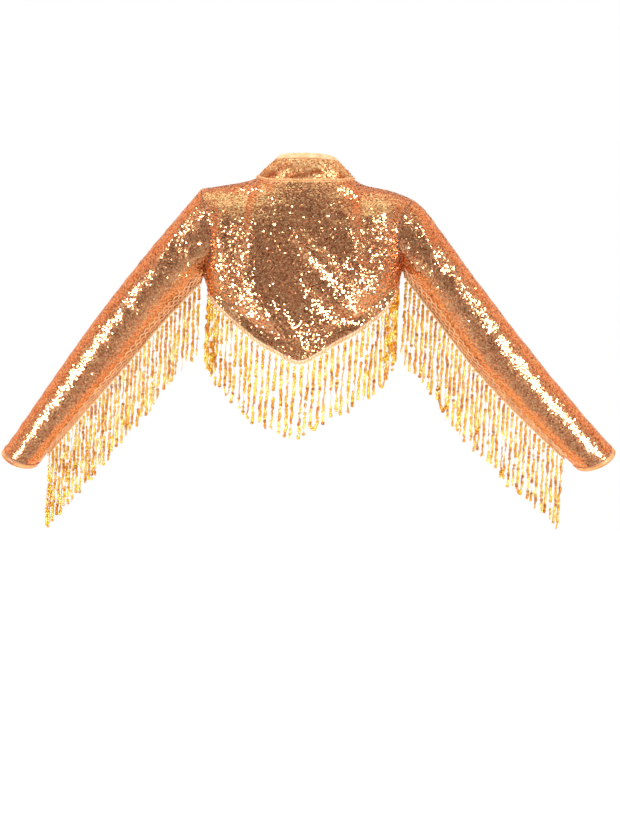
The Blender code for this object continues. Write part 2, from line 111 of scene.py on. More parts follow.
class Ring(NamedTuple):
    """Where a sleeve ring's shoulder line and under line run, and its half depth."""

    t: float
    top_x: float
    top_z: float
    under_x: float
    under_z: float
    axis_y: float
    half_depth: float


class Bow(NamedTuple):
    """How far the armhole seam runs toward the body above and below its middle."""

    upper: float
    lower: float
    reach: float


class Seam(NamedTuple):
    """A place on a seam at the share s of it."""

    s: float
    x: float
    y: float
    z: float


class Neck(NamedTuple):
    """The heights of the neck seam and of the collar top at a turn round the neck."""

    turn: float
    base_z: float
    top_z: float


class Hem(NamedTuple):
    """A place on the pointed back hem, seen from behind."""

    x: float
    z: float


class Fold(NamedTuple):
    """A soft line seen from behind: its ends, its half width, and its height or its share."""

    x0: float
    z0: float
    x1: float
    z1: float
    width: float
    height: float


class Length(NamedTuple):
    """A fringe length at the share s of its header."""

    s: float
    length: float


class Cut(NamedTuple):
    """A cloth cut flat: its width, its length and its area."""

    width: float
    length: float
    area: float


SLEEVE_LEFT = (
    Ring(0.00, -0.1851, 0.0018, -0.1816, -0.1530, 0.000, 0.062),
    Ring(0.25, -0.2790, -0.1090, -0.2474, -0.2221, 0.010, 0.058),
    Ring(0.50, -0.3735, -0.2240, -0.3190, -0.3017, 0.036, 0.050),
    Ring(0.75, -0.4674, -0.3459, -0.4055, -0.3948, 0.082, 0.042),
    Ring(1.00, -0.5650, -0.4755, -0.5030, -0.5015, 0.136, 0.036),
)
SLEEVE_RIGHT = (
    Ring(0.00, 0.1905, -0.0178, 0.1709, -0.1430, 0.000, 0.060),
    Ring(0.06, 0.2135, -0.0390, 0.1859, -0.1629, 0.001, 0.060),
    Ring(0.25, 0.2795, -0.1292, 0.2340, -0.2262, 0.010, 0.057),
    Ring(0.50, 0.3691, -0.2428, 0.3044, -0.3147, 0.036, 0.050),
    Ring(0.75, 0.4668, -0.3571, 0.3950, -0.4067, 0.082, 0.043),
    Ring(1.00, 0.5735, -0.4735, 0.5055, -0.5070, 0.136, 0.038),
)
BOW_LEFT = Bow(0.004, 0.027, 0.22)
BOW_RIGHT = Bow(-0.022, -0.017, 0.22)

SHOULDER_LEFT = (
    Seam(0.0, -0.1851, 0.000, 0.0018),
    Seam(0.4, -0.1480, 0.002, 0.0076),
    Seam(0.8, -0.1060, 0.006, 0.0158),
    Seam(1.0, -0.0873, 0.008, 0.0218),
)
SHOULDER_RIGHT = (
    Seam(0.0, 0.1905, 0.000, -0.0178),
    Seam(0.4, 0.1490, 0.002, -0.0015),
    Seam(0.8, 0.1040, 0.006, 0.0090),
    Seam(1.0, 0.0853, 0.008, 0.0190),
)
NECK = (
    Neck(-125.0, 0.0040, 0.0440),
    Neck(-90.0, 0.0218, 0.0570),
    Neck(-45.0, 0.0130, 0.0605),
    Neck(0.0, 0.0105, 0.0606),
    Neck(45.0, 0.0125, 0.0580),
    Neck(90.0, 0.0190, 0.0516),
    Neck(125.0, 0.0020, 0.0400),
)
HEM = (
    Hem(-0.1760, -0.1680),
    Hem(-0.1670, -0.1880),
    Hem(-0.1380, -0.2193),
    Hem(-0.1100, -0.2434),
    Hem(-0.0820, -0.2657),
    Hem(-0.0546, -0.2811),
    Hem(-0.0117, -0.3010),
    Hem(0.0277, -0.2828),
    Hem(0.0551, -0.2657),
    Hem(0.0827, -0.2520),
    Hem(0.1104, -0.2331),
    Hem(0.1384, -0.2100),
    Hem(0.1563, -0.1850),
    Hem(0.1665, -0.1570),
)
OPENING_LEFT = (
    Seam(0.25, -0.0717, 0.0482, 0.0040),
    Seam(0.50, -0.0770, 0.077, -0.0520),
    Seam(0.78, -0.0930, 0.096, -0.1250),
    Seam(1.00, -0.1320, 0.090, -0.1810),
)
FRONT_HEM_LEFT = (
    Seam(0.00, -0.1760, 0.000, -0.1680),
    Seam(0.45, -0.1660, 0.045, -0.1810),
    Seam(1.00, -0.1320, 0.090, -0.1810),
)
OPENING_RIGHT = (
    Seam(0.25, 0.0697, 0.0482, 0.0020),
    Seam(0.50, 0.0750, 0.077, -0.0540),
    Seam(0.78, 0.0910, 0.096, -0.1250),
    Seam(1.00, 0.1260, 0.090, -0.1750),
)
FRONT_HEM_RIGHT = (
    Seam(0.00, 0.1665, 0.000, -0.1570),
    Seam(0.45, 0.1570, 0.045, -0.1720),
    Seam(1.00, 0.1260, 0.090, -0.1750),
)
# Creases that lift the cloth, below 0 where they sink
BACK_FOLDS = (
    Fold(-0.012, -0.092, 0.080, -0.187, 0.014, 0.0088),
    Fold(0.000, -0.168, 0.100, -0.230, 0.013, 0.0082),
    Fold(0.066, -0.126, 0.122, -0.156, 0.009, 0.0048),
    Fold(-0.144, -0.045, -0.160, -0.168, 0.010, 0.0040),
    Fold(-0.126, -0.134, -0.030, -0.272, 0.011, 0.0035),
    Fold(-0.060, -0.050, 0.060, -0.054, 0.014, -0.0008),
)
LEFT_FOLDS = (
    Fold(-0.213, -0.116, -0.188, -0.098, 0.006, -0.0040),
    Fold(-0.197, -0.027, -0.260, -0.134, 0.007, 0.0035),
    Fold(-0.214, -0.107, -0.214, -0.128, 0.006, 0.0035),
    Fold(-0.330, -0.190, -0.300, -0.225, 0.008, -0.0025),
)
RIGHT_FOLDS = (
    Fold(0.250, -0.116, 0.215, -0.128, 0.006, -0.0040),
    Fold(0.268, -0.142, 0.236, -0.155, 0.006, -0.0035),
    Fold(0.200, -0.060, 0.235, -0.150, 0.008, 0.0030),
    Fold(0.345, -0.240, 0.315, -0.262, 0.008, -0.0025),
)
# Creases on the sides that the photograph hides, of the same kind as the visible ones
HIDDEN_LEFT_FOLDS = (
    Fold(-0.245, -0.085, -0.212, -0.120, 0.007, -0.0035),
    Fold(-0.262, -0.105, -0.225, -0.160, 0.008, 0.0030),
    Fold(-0.352, -0.214, -0.312, -0.262, 0.008, -0.0030),
    Fold(-0.378, -0.240, -0.340, -0.290, 0.008, 0.0025),
)
HIDDEN_RIGHT_FOLDS = (
    Fold(0.248, -0.095, 0.214, -0.128, 0.007, -0.0035),
    Fold(0.270, -0.128, 0.232, -0.172, 0.008, 0.0030),
    Fold(0.352, -0.232, 0.312, -0.282, 0.008, -0.0030),
    Fold(0.380, -0.262, 0.338, -0.312, 0.008, 0.0025),
)
FRONT_FOLDS = (
    Fold(-0.170, -0.120, -0.105, -0.160, 0.009, 0.0030),
    Fold(-0.160, -0.050, -0.105, -0.110, 0.010, -0.0030),
    Fold(0.165, -0.120, 0.100, -0.158, 0.009, 0.0030),
    Fold(0.160, -0.055, 0.100, -0.112, 0.010, -0.0030),
)
# Where the sequins sag and face down, and where their foil is painted orange instead of copper
# brown as a painted glow of light reflected under the arms, and how far
SAG_AND_PAINTED_GLOW_LINES = (
    Fold(-0.205, -0.165, -0.300, -0.285, 0.026, 0.75),
    Fold(-0.300, -0.285, -0.500, -0.495, 0.011, 0.60),
    Fold(-0.178, -0.120, -0.200, -0.165, 0.024, 0.70),
    Fold(-0.172, -0.150, -0.120, -0.228, 0.018, 0.85),
    Fold(0.195, -0.160, 0.300, -0.300, 0.016, 0.70),
    Fold(0.300, -0.300, 0.500, -0.500, 0.011, 0.60),
    Fold(0.168, -0.155, 0.095, -0.214, 0.020, 0.85),
)

# Share of the sequins that a crease turns to a strip light: the left one below 0, the right above
TURNED_LINES = (
    Fold(0.004, -0.121, 0.026, -0.148, 0.0035, -0.27),
    Fold(0.030, -0.150, 0.062, -0.180, 0.0075, -0.51),
    Fold(0.062, -0.180, 0.086, -0.200, 0.0060, -0.45),
    Fold(0.000, -0.182, 0.022, -0.212, 0.0050, -0.39),
    Fold(0.022, -0.212, 0.056, -0.234, 0.0070, -0.48),
    Fold(0.056, -0.234, 0.096, -0.237, 0.0050, -0.45),
    Fold(0.066, -0.138, 0.104, -0.162, 0.0035, -0.45),
    Fold(-0.113, -0.140, -0.092, -0.180, 0.0080, -0.21),
    Fold(-0.092, -0.180, -0.062, -0.222, 0.0070, -0.21),
    Fold(-0.056, -0.200, -0.030, -0.228, 0.0070, -0.27),
    Fold(-0.030, -0.228, -0.006, -0.256, 0.0090, -0.27),
    Fold(-0.010, -0.250, 0.018, -0.268, 0.0100, -0.21),
    Fold(-0.008, -0.262, -0.002, -0.284, 0.0070, -0.21),
    Fold(-0.148, -0.122, -0.134, -0.158, 0.0040, -0.24),
    Fold(0.112, -0.078, 0.134, -0.050, 0.0060, 0.27),
    Fold(0.110, -0.105, 0.126, -0.128, 0.0060, 0.24),
    Fold(0.052, -0.002, 0.090, -0.018, 0.0060, 0.24),
    Fold(-0.124, -0.007, -0.084, -0.005, 0.0040, -0.21),
    Fold(-0.067, -0.020, -0.041, -0.028, 0.0030, -0.21),
    Fold(-0.020, -0.200, 0.050, -0.270, 0.0300, -0.04),
)
# Share of the sequins that face straight back, where the cloth lies flat
CALM_LINES = (
    Fold(-0.036, -0.008, 0.036, -0.008, 0.018, 0.85),
    Fold(-0.132, -0.070, -0.134, -0.130, 0.024, 0.55),
    Fold(-0.134, -0.130, -0.120, -0.200, 0.024, 0.50),
    Fold(0.105, -0.090, 0.128, -0.130, 0.026, 0.60),
    Fold(0.118, -0.130, 0.110, -0.170, 0.028, 0.50),
    Fold(-0.152, -0.192, -0.128, -0.216, 0.012, 0.90),
    Fold(0.156, -0.182, 0.126, -0.208, 0.012, 0.90),
)

# Where the collar's folds lie in orange brown shade, and how far
COLLAR_SHADE_LINES = (
    Fold(-0.080, 0.012, -0.046, 0.029, 0.010, 1.00),
    Fold(-0.041, 0.016, -0.004, 0.022, 0.006, 1.00),
    Fold(-0.004, 0.024, 0.036, 0.029, 0.005, 0.95),
    Fold(0.020, 0.013, 0.048, 0.009, 0.006, 0.70),
    Fold(0.052, 0.024, 0.074, 0.011, 0.007, 1.00),
    Fold(-0.046, 0.040, -0.016, 0.034, 0.006, 0.70),
)
COLLAR_CALM_LINES = (Fold(-0.060, 0.028, 0.060, 0.028, 0.020, 0.40),)

# Lengths of the strands along each header
FRINGE_LEFT = (Length(0.0, 0.122), Length(0.5, 0.137), Length(1.0, 0.142))
FRINGE_RIGHT = (Length(0.0, 0.137), Length(0.5, 0.134), Length(1.0, 0.130))
FRINGE_HEM = (
    Length(0.0, 0.124),
    Length(0.25, 0.134),
    Length(0.5, 0.123),
    Length(0.8, 0.127),
    Length(1.0, 0.132),
)


def slope(rows: Sequence[Tuple[float, ...]], k: int, column: int) -> float:
    """Return a table column's slope at row k, from the rows beside it.

    Args:
        rows: The table, ordered by its first column.
        k: The row's number.
        column: The column's number.

    Returns:
        The slope per unit of the first column.
    """
    before, after = rows[max(k - 1, 0)], rows[min(k + 1, len(rows) - 1)]
    return (after[column] - before[column]) / (after[0] - before[0])


def spline(rows: Sequence[Tuple[float, ...]], knot: float) -> Tuple[float, ...]:
    """Return a table's other columns where its first one is knot, on smooth curves.

    Args:
        rows: The table, ordered by its first column.
        knot: The value of the first column.

    Returns:
        The other columns' values.
    """
    knots = [row[0] for row in rows]
    low = min(max(bisect.bisect_right(knots, knot) - 1, 0), len(rows) - 2)
    step = knots[low + 1] - knots[low]
    s = (knot - knots[low]) / step
    rise = 3 * s**2 - 2 * s**3
    values = []
    for column in range(1, len(rows[0])):
        value = rows[low][column] * (1 - rise) + rows[low + 1][column] * rise
        value += slope(rows, low, column) * step * (s**3 - 2 * s**2 + s)
        value += slope(rows, low + 1, column) * step * (s**3 - s**2)
        values.append(value)
    return tuple(values)


def unit(vectors: np.ndarray) -> np.ndarray:
    """Return vectors scaled to length 1, along the last axis."""
    size = np.linalg.norm(vectors, axis=-1, keepdims=True)
    return vectors / np.maximum(size, 1e-12)


def fold_height(folds: Sequence[Fold], points: np.ndarray) -> np.ndarray:
    """Return how far the folds lift the cloth at points, from their place seen from behind.

    Args:
        folds: The folds.
        points: Points, with X, Y and Z along the last axis.

    Returns:
        One height per point.
    """
    height = np.zeros(points.shape[:-1])
    spots = points[..., (0, 2)]
    for fold in folds:
        start = np.array((fold.x0, fold.z0))
        along = np.array((fold.x1, fold.z1)) - start
        share = np.clip((spots - start) @ along / (along @ along), 0.0, 1.0)
        distance = np.linalg.norm(spots - start - share[..., None] * along, axis=-1)
        fade = FOLD_ENDS + (1.0 - FOLD_ENDS) * np.sin(np.pi * share)
        height += fold.height * fade * np.exp(-((distance / fold.width) ** 2))
    return height


def wave_at(points: np.ndarray, rates: Tuple[float, float, float, float]) -> np.ndarray:
    """Return a wave's values at points.

    Args:
        points: Points, with X, Y and Z along the last axis.
        rates: Its rates along X, Y and Z in radians per metre, and its phase.

    Returns:
        One value per point, from -1 to 1.
    """
    x, y, z = points[..., 0], points[..., 1], points[..., 2]
    return np.sin(rates[0] * x + rates[1] * y + rates[2] * z + rates[3])


def ripple_height(points: np.ndarray) -> np.ndarray:
    """Return the cloth's slight unevenness, the same on both sides of a seam.

    Args:
        points: Points, with X, Y and Z along the last axis.

    Returns:
        One height per point, within about 1 mm.
    """
    total = np.zeros(points.shape[:-1])
    for height, first, second in RIPPLES:
        total += height * (wave_at(points, first) * wave_at(points, second))
    return total


class ClothSurface:
    """A grid of points on the cloth's outer face; columns run across, rows run down."""

    def __init__(self, points: np.ndarray, inside: np.ndarray, closed: bool) -> None:
        """Keep the points and what tells the outside from the inside.

        Args:
            points: Rows by columns of points.
            inside: One point per row, or one for all, that the cloth's back faces.
            closed: True where the last column lies on the first, as on a tube.
        """
        self.points = points
        self.inside = inside
        self.closed = closed

    @property
    def normals(self) -> np.ndarray:
        """Return the outward normals of the grid's points.

        Returns:
            One unit vector per point.
        """
        padded = self.points
        if self.closed:
            padded = np.concatenate((padded[:, -2:-1], padded, padded[:, 1:2]), axis=1)
        across = np.gradient(padded, axis=1)
        if self.closed:
            across = across[:, 1:-1]
        down = np.gradient(self.points, axis=0)
        normals = unit(np.cross(down, across))
        lean = np.sum((self.points - self.inside) * normals)
        return normals if lean > 0.0 else -normals

    def lift(self, heights: np.ndarray) -> None:
        """Move the points along their normals by heights."""
        self.points = self.points + self.normals * heights[..., None]

    def grid(self) -> BMesh:
        """Return the surface as a bmesh grid whose faces point outward.

        Returns:
            The bmesh, which the caller frees.
        """
        rows, columns = self.points.shape[0] - 1, self.points.shape[1] - 1
        bm = bmesh.new()
        bmesh.ops.create_grid(bm, x_segments=columns, y_segments=rows, size=0.5)
        for vert in bm.verts:
            column = round((vert.co.x + 0.5) * columns)
            row = round((vert.co.y + 0.5) * rows)
            vert.co = self.points[row, column]
        if self.closed:
            bmesh.ops.remove_doubles(bm, verts=bm.verts[:], dist=MERGE)
        bm.normal_update()
        bm.faces.ensure_lookup_table()
        face = bm.faces[len(bm.faces) // 2]
        spot = np.array(face.calc_center_median())
        flat = np.abs(self.points - spot).sum(axis=-1)
        row, column = np.unravel_index(np.argmin(flat), flat.shape)
        if np.array(face.normal) @ self.normals[row, column] < 0.0:
            bmesh.ops.reverse_faces(bm, faces=bm.faces[:])
        return bm

    def row_lengths(self) -> np.ndarray:
        """Return each row's length."""
        return np.linalg.norm(np.diff(self.points, axis=1), axis=-1).sum(axis=1)

    def column_lengths(self) -> np.ndarray:
        """Return each column's length."""
        return np.linalg.norm(np.diff(self.points, axis=0), axis=-1).sum(axis=0)

    def area(self) -> float:
        """Return the cloth's area.

        Returns:
            The area in square metres.
        """
        first = self.points[1:, 1:] - self.points[:-1, :-1]
        second = self.points[1:, :-1] - self.points[:-1, 1:]
        return float(np.linalg.norm(np.cross(first, second), axis=-1).sum() / 2.0)

    def sample(self, u: np.ndarray, v: np.ndarray) -> Tuple[np.ndarray, np.ndarray, np.ndarray]:
        """Return places on the surface and its steps across and down there.

        Args:
            u: Shares across, from 0 to 1.
            v: Shares down, from 0 to 1.

        Returns:
            The points, and the change of place per unit of u and of v.
        """
        rows, columns = self.points.shape[0] - 1, self.points.shape[1] - 1
        x = np.clip(u, 0.0, 1.0) * columns
        y = np.clip(v, 0.0, 1.0) * rows
        i = np.minimum(x.astype(int), columns - 1)
        j = np.minimum(y.astype(int), rows - 1)
        a = (x - i)[:, None]
        b = (y - j)[:, None]
        p00, p01 = self.points[j, i], self.points[j, i + 1]
        p10, p11 = self.points[j + 1, i], self.points[j + 1, i + 1]
        upper, lower = p00 + (p01 - p00) * a, p10 + (p11 - p10) * a
        across = ((p01 - p00) * (1.0 - b) + (p11 - p10) * b) * columns
        return upper + (lower - upper) * b, across, (lower - upper) * rows

    def outward(self, u: np.ndarray, v: np.ndarray) -> np.ndarray:
        """Return smooth outward normals at shares u across and v down."""
        normals = ClothSurface(self.normals, self.inside, self.closed)
        return unit(normals.sample(u, v)[0])


@dataclass(frozen=True)
class SleeveForm:
    """A sleeve tube: rings from the armhole seam down to the cuff."""

    rings: Tuple[Ring, ...]
    bow: Bow
    folds: Tuple[Fold, ...]
    hidden_folds: Tuple[Fold, ...]

    def centre(self, t: float) -> np.ndarray:
        """Return the middle of the ring at station t."""
        top_x, top_z, under_x, under_z, axis_y, _ = spline(self.rings, t)
        return np.array(((top_x + under_x) / 2, axis_y, (top_z + under_z) / 2))

    def ring(self, t: float, turns: np.ndarray) -> np.ndarray:
        """Return the unfolded ring at t.

        Args:
            t: The station, 0 at the armhole and 1 at the end.
            turns: Angles in radians, 0 on top and rising to the front.

        Returns:
            One point per turn.
        """
        top_x, top_z, under_x, under_z, _, half_depth = spline(self.rings, t)
        half = np.array(((top_x - under_x) / 2, 0.0, (top_z - under_z) / 2))
        start = min(t, 1.0 - AXIS_STEP)
        along = self.centre(start + AXIS_STEP) - self.centre(start)
        across = unit(np.cross(along, half))
        across = -across if across[1] < 0.0 else across
        square = min(t / SQUARE_FROM, 1.0)
        forward = unit(np.array((0.0, 1.0, 0.0)) * (1.0 - square) + across * square)
        sine, cosine = np.sin(turns)[:, None], np.cos(turns)[:, None]
        above = (1.0 + cosine) / 2.0
        inward = sine**2 * (self.bow.upper * above + self.bow.lower * (1.0 - above))
        near = max(0.0, 1.0 - t / self.bow.reach) ** 2
        bowed = inward * near * np.array((1.0, 0.0, 0.0))
        return self.centre(t) + half * cosine + forward * half_depth * sine + bowed

    def surface(self, start: float, end: float, rings: int, sides: int) -> ClothSurface:
        """Return the folded outer face between two stations.

        Args:
            start: The first station.
            end: The last station.
            rings: The number of steps along.
            sides: The number of steps round.

        Returns:
            The tube, whose first column is on top.
        """
        turns = np.linspace(0.0, 2.0 * np.pi, sides + 1)
        behind = np.maximum(0.0, -np.sin(turns))
        ahead = np.maximum(0.0, np.sin(turns))
        rows, middles = [], []
        for t in np.linspace(start, end, rings + 1):
            points = self.ring(t, turns)
            middle = self.centre(t)
            away = unit(points - middle)
            fade = min(1.0, t / SLEEVE_FOLDS_FROM)
            height = fold_height(self.folds, points) * behind
            height += fold_height(self.hidden_folds, points) * ahead
            height += ripple_height(points)
            rows.append(points + away * (height * fade)[:, None])
            middles.append(middle)
        return ClothSurface(np.array(rows), np.array(middles)[:, None, :], True)

    def under(self) -> np.ndarray:
        """Return the underarm point, where the armhole meets the side seam."""
        return self.ring(0.0, np.array((np.pi,)))[0]


LEFT_SLEEVE = SleeveForm(SLEEVE_LEFT, BOW_LEFT, LEFT_FOLDS, HIDDEN_LEFT_FOLDS)
RIGHT_SLEEVE = SleeveForm(SLEEVE_RIGHT, BOW_RIGHT, RIGHT_FOLDS, HIDDEN_RIGHT_FOLDS)


def blend_borders(
    top: np.ndarray, bottom: np.ndarray, first: np.ndarray, last: np.ndarray
) -> np.ndarray:
    """Blend four border curves into one surface that meets them all.

    Args:
        top: The points of the first row.
        bottom: The points of the last row.
        first: The points of the first column.
        last: The points of the last column.

    Returns:
        Rows by columns of points.
    """
    u = np.linspace(0.0, 1.0, len(top))[None, :, None]
    v = np.linspace(0.0, 1.0, len(first))[:, None, None]
    across = first[:, None] * (1.0 - u) + last[:, None] * u
    down = top[None] * (1.0 - v) + bottom[None] * v
    upper = top[0] * (1.0 - u) + top[-1] * u
    lower = bottom[0] * (1.0 - u) + bottom[-1] * u
    return across + down - (upper * (1.0 - v) + lower * v)


@dataclass(frozen=True)
class NeckForm:
    """The neck seam and the stand collar's top edge as loops round the neck."""

    centre_x: float = -0.0010
    centre_y: float = 0.008
    half_x: float = 0.0863
    half_y: float = 0.070
    top_x: float = 0.0028
    top_y: float = -0.002
    top_half_x: float = 0.0520
    top_half_y: float = 0.048
    swell: float = 0.001
    ridge: float = 0.003
    ridge_at: float = 0.35
    ridge_width: float = 0.18
    crumple: float = 0.0011
    inside_z: float = 0.03

    def base(self, turn_degrees: float) -> np.ndarray:
        """Return a place on the neck seam.

        Args:
            turn_degrees: The turn about the neck, 0 at the back.

        Returns:
            The point.
        """
        turn = math.radians(turn_degrees)
        x = self.centre_x + self.half_x * math.sin(turn)
        y = self.centre_y - self.half_y * math.cos(turn)
        return np.array((x, y, spline(NECK, turn_degrees)[0]))

    def top(self, turn_degrees: float) -> np.ndarray:
        """Return a place on the collar's top edge.

        Args:
            turn_degrees: The turn about the neck, 0 at the back.

        Returns:
            The point.
        """
        turn = math.radians(turn_degrees)
        x = self.top_x + self.top_half_x * math.sin(turn)
        y = self.top_y - self.top_half_y * math.cos(turn)
        return np.array((x, y, spline(NECK, turn_degrees)[1]))

    def collar(self, columns: int, rows: int) -> ClothSurface:
        """Return the stand collar's outer face, from the neck seam up to the top edge.

        Args:
            columns: The number of steps round the neck.
            rows: The number of steps up.

        Returns:
            The surface, whose first row is the neck seam.
        """
        v = np.linspace(0.0, 1.0, rows + 1)[:, None, None]
        turns = np.linspace(NECK[0].turn, NECK[-1].turn, columns + 1)
        base = np.array([self.base(turn) for turn in turns]) + (0.0, 0.0, COLLAR_GAP)
        top = np.array([self.top(turn) for turn in turns])
        angles = np.radians(turns)
        away = np.stack((np.sin(angles), -np.cos(angles), np.zeros_like(angles)), axis=-1)
        behind = np.maximum(0.0, np.cos(angles))[None, :, None]
        bump = self.ridge * np.exp(-(((v - self.ridge_at) / self.ridge_width) ** 2)) * behind
        crumple = sum(
            np.sin(rate * angles + turn)[None, :, None] * np.sin(rate_up * v + start)
            for rate, turn, rate_up, start in CRUMPLES
        )
        crumple = self.crumple * crumple * np.sin(np.pi * v)
        swell = self.swell * np.sin(np.pi * v)
        points = base[None] * (1.0 - v) + top[None] * v + away[None] * (swell + bump + crumple)
        inside = np.array((self.top_x, self.centre_y, self.inside_z))
        return ClothSurface(points, inside, False)


@dataclass(frozen=True)
class BodyForm:
    """The back panel with its pointed hem, and the two short fronts."""

    neck: NeckForm
    depth: float = 0.105
    roundness: float = 2.3
    neck_fill: float = 0.60
    neck_share: float = 0.25
    opening_share: float = 0.25
    corner_reach: float = 0.07
    corner_fade: float = 0.12
    middle: Tuple[float, float, float] = (0.0, 0.0, -0.12)

    def side(self, sleeve: SleeveForm, facing: float, corner: np.ndarray, rows: int) -> np.ndarray:
        """Return a body panel's side: half the armhole, then the short side seam.

        Args:
            sleeve: The sleeve that the panel meets.
            facing: -1 for the back panel and 1 for a front.
            corner: The side seam's lower end.
            rows: The number of steps down.

        Returns:
            The points from the shoulder down.
        """
        under = sleeve.under()
        points = []
        for v in np.linspace(0.0, 1.0, rows + 1):
            if v <= UNDERARM_ROW:
                turn = facing * np.pi * v / UNDERARM_ROW
                points.append(sleeve.ring(0.0, np.array((turn,)))[0])
            else:
                share = (v - UNDERARM_ROW) / (1.0 - UNDERARM_ROW)
                points.append(under * (1.0 - share) + corner * share)
        return np.array(points)

    def back_top(self, u: float) -> np.ndarray:
        """Return a place on the back's top edge: shoulder seam, neck seam, shoulder seam.

        Args:
            u: The share across, from the wearer's left to right.

        Returns:
            The point.
        """
        if u < self.neck_share:
            return np.array(spline(SHOULDER_LEFT, u / self.neck_share))
        if u > 1.0 - self.neck_share:
            return np.array(spline(SHOULDER_RIGHT, (1.0 - u) / self.neck_share))
        share = (u - self.neck_share) / (1.0 - 2.0 * self.neck_share)
        return self.neck.base(180.0 * share - 90.0)

    def back_hem(self, u: float) -> np.ndarray:
        """Return a place on the pointed hem, which wraps from underarm to underarm.

        Args:
            u: The share across, from the wearer's left to right.

        Returns:
            The point.
        """
        middle = (HEM[0].x + HEM[-1].x) / 2
        half = (HEM[-1].x - HEM[0].x) / 2
        cosine, sine = math.cos(math.pi * u), math.sin(math.pi * u)
        power = self.roundness
        scale = (abs(cosine) ** power + abs(sine) ** power) ** (-1.0 / power)
        x = middle - half * cosine * scale
        return np.array((x, -self.depth * abs(sine) * scale, spline(HEM, x)[0]))

    def creased(self, points: np.ndarray, folds: Sequence[Fold]) -> ClothSurface:
        """Return a panel with its folds, which fade out at its sides and at its top.

        Args:
            points: Rows by columns of points.
            folds: The folds.

        Returns:
            The surface.
        """
        surface = ClothSurface(points, np.array(self.middle), False)
        u = np.linspace(0.0, 1.0, points.shape[1])
        v = np.linspace(0.0, 1.0, points.shape[0])
        near = np.minimum(u, 1.0 - u) / FOLD_SIDE_MARGIN
        edge = np.minimum(np.minimum(1.0, near)[None, :], (v / FOLD_TOP_MARGIN)[:, None])
        surface.lift((fold_height(folds, points) + ripple_height(points)) * edge)
        return surface

    def back(self, columns: int, rows: int) -> ClothSurface:
        """Return the back panel's outer face with its folds.

        Args:
            columns: The number of steps from the wearer's left to right.
            rows: The number of steps down.

        Returns:
            The surface, whose first row is the shoulder and neck edge.
        """
        u = np.linspace(0.0, 1.0, columns + 1)
        v = np.linspace(0.0, 1.0, rows + 1)
        top = np.array([self.back_top(share) for share in u])
        hem = np.array([self.back_hem(share) for share in u])
        left = self.side(LEFT_SLEEVE, -1.0, hem[0], rows)
        right = self.side(RIGHT_SLEEVE, -1.0, hem[-1], rows)
        points = blend_borders(top, hem, left, right)
        fill = np.minimum(top[:, 1], 0.0)[None, :] * np.sin(np.pi * v)[:, None]
        points[..., 1] -= self.neck_fill * fill
        # Below the seam the cloth bridges the corner where the shoulder meets the neck
        reach = int(self.corner_reach * columns)
        kernel = np.exp(-np.linspace(-2.0, 2.0, 2 * reach + 1) ** 2)
        for row in range(1, rows):
            fades = (v[row] / self.corner_fade, (1.0 - v[row]) / self.corner_fade)
            share = min(1.0, fades[0]) * min(1.0, fades[1])
            line = points[row]
            ends = (2.0 * line[0] - line[reach:0:-1], 2.0 * line[-1] - line[-2:-reach - 2:-1])
            padded = np.concatenate((ends[0], line, ends[1]))
            soft = [np.convolve(padded[:, c], kernel / kernel.sum(), "valid") for c in range(3)]
            points[row] = line * (1.0 - share) + np.stack(soft, axis=1) * share
        return self.creased(points, BACK_FOLDS)

    def front(self, side: Side, columns: int, rows: int) -> ClothSurface:
        """Return one front's outer face, from the armhole to the free edge.

        Args:
            side: The wearer's side.
            columns: The number of steps across.
            rows: The number of steps down.

        Returns:
            The surface, whose first row is the shoulder seam.
        """
        left = side is Side.LEFT
        sleeve = LEFT_SLEEVE if left else RIGHT_SLEEVE
        shoulder = SHOULDER_LEFT if left else SHOULDER_RIGHT
        opening = OPENING_LEFT if left else OPENING_RIGHT
        hem = FRONT_HEM_LEFT if left else FRONT_HEM_RIGHT
        u = np.linspace(0.0, 1.0, columns + 1)
        v = np.linspace(0.0, 1.0, rows + 1)
        top = np.array([spline(shoulder, share) for share in u])
        bottom = np.array([spline(hem, share) for share in u])
        edge = []
        for share in v:
            if share >= self.opening_share:
                edge.append(np.array(spline(opening, share)))
            else:
                turn = 90.0 + (NECK[-1].turn - 90.0) * share / self.opening_share
                edge.append(self.neck.base(side.value * turn))
        armhole = self.side(sleeve, 1.0, bottom[0], rows)
        points = blend_borders(top, bottom, armhole, np.array(edge))
        return self.creased(points, FRONT_FOLDS)


def linear(hex_colour: str) -> Tuple[float, float, float, float]:
    """Turn an sRGB colour into a linear one.

    Args:
        hex_colour: The colour, such as #C08050.

    Returns:
        Its linear red, green and blue, and an alpha of 1.
    """
    shares = [int(hex_colour[k:k + 2], 16) / 255.0 for k in (1, 3, 5)]
    turned = [s / 12.92 if s <= 0.04045 else ((s + 0.055) / 1.055) ** 2.4 for s in shares]
    return (turned[0], turned[1], turned[2], 1.0)


def add_node(
    tree: NodeTree,
    kind: str,
    inputs: Dict[Union[str, int], object],
    stops: Sequence[Tuple[float, str]] = (),
    **settings: object,
) -> Node:
    """Add a node with its settings and links.

    Args:
        tree: The node tree.
        kind: The node's type name.
        inputs: Input socket names or numbers, each with a value or a socket to link.
        stops: Places and sRGB hex colours of a colour ramp.
        settings: The node's own properties.

    Returns:
        The node.
    """
    node = tree.nodes.new(kind)
    for name, value in settings.items():
        setattr(node, name, value)
    for key, value in inputs.items():
        if isinstance(value, NodeSocket):
            tree.links.new(value, node.inputs[key])
        else:
            node.inputs[key].default_value = value
    for k, (place, colour) in enumerate(stops):
        if k >= len(node.color_ramp.elements):
            node.color_ramp.elements.new(place)
        node.color_ramp.elements[k].position = place
        node.color_ramp.elements[k].color = linear(colour)
    return node


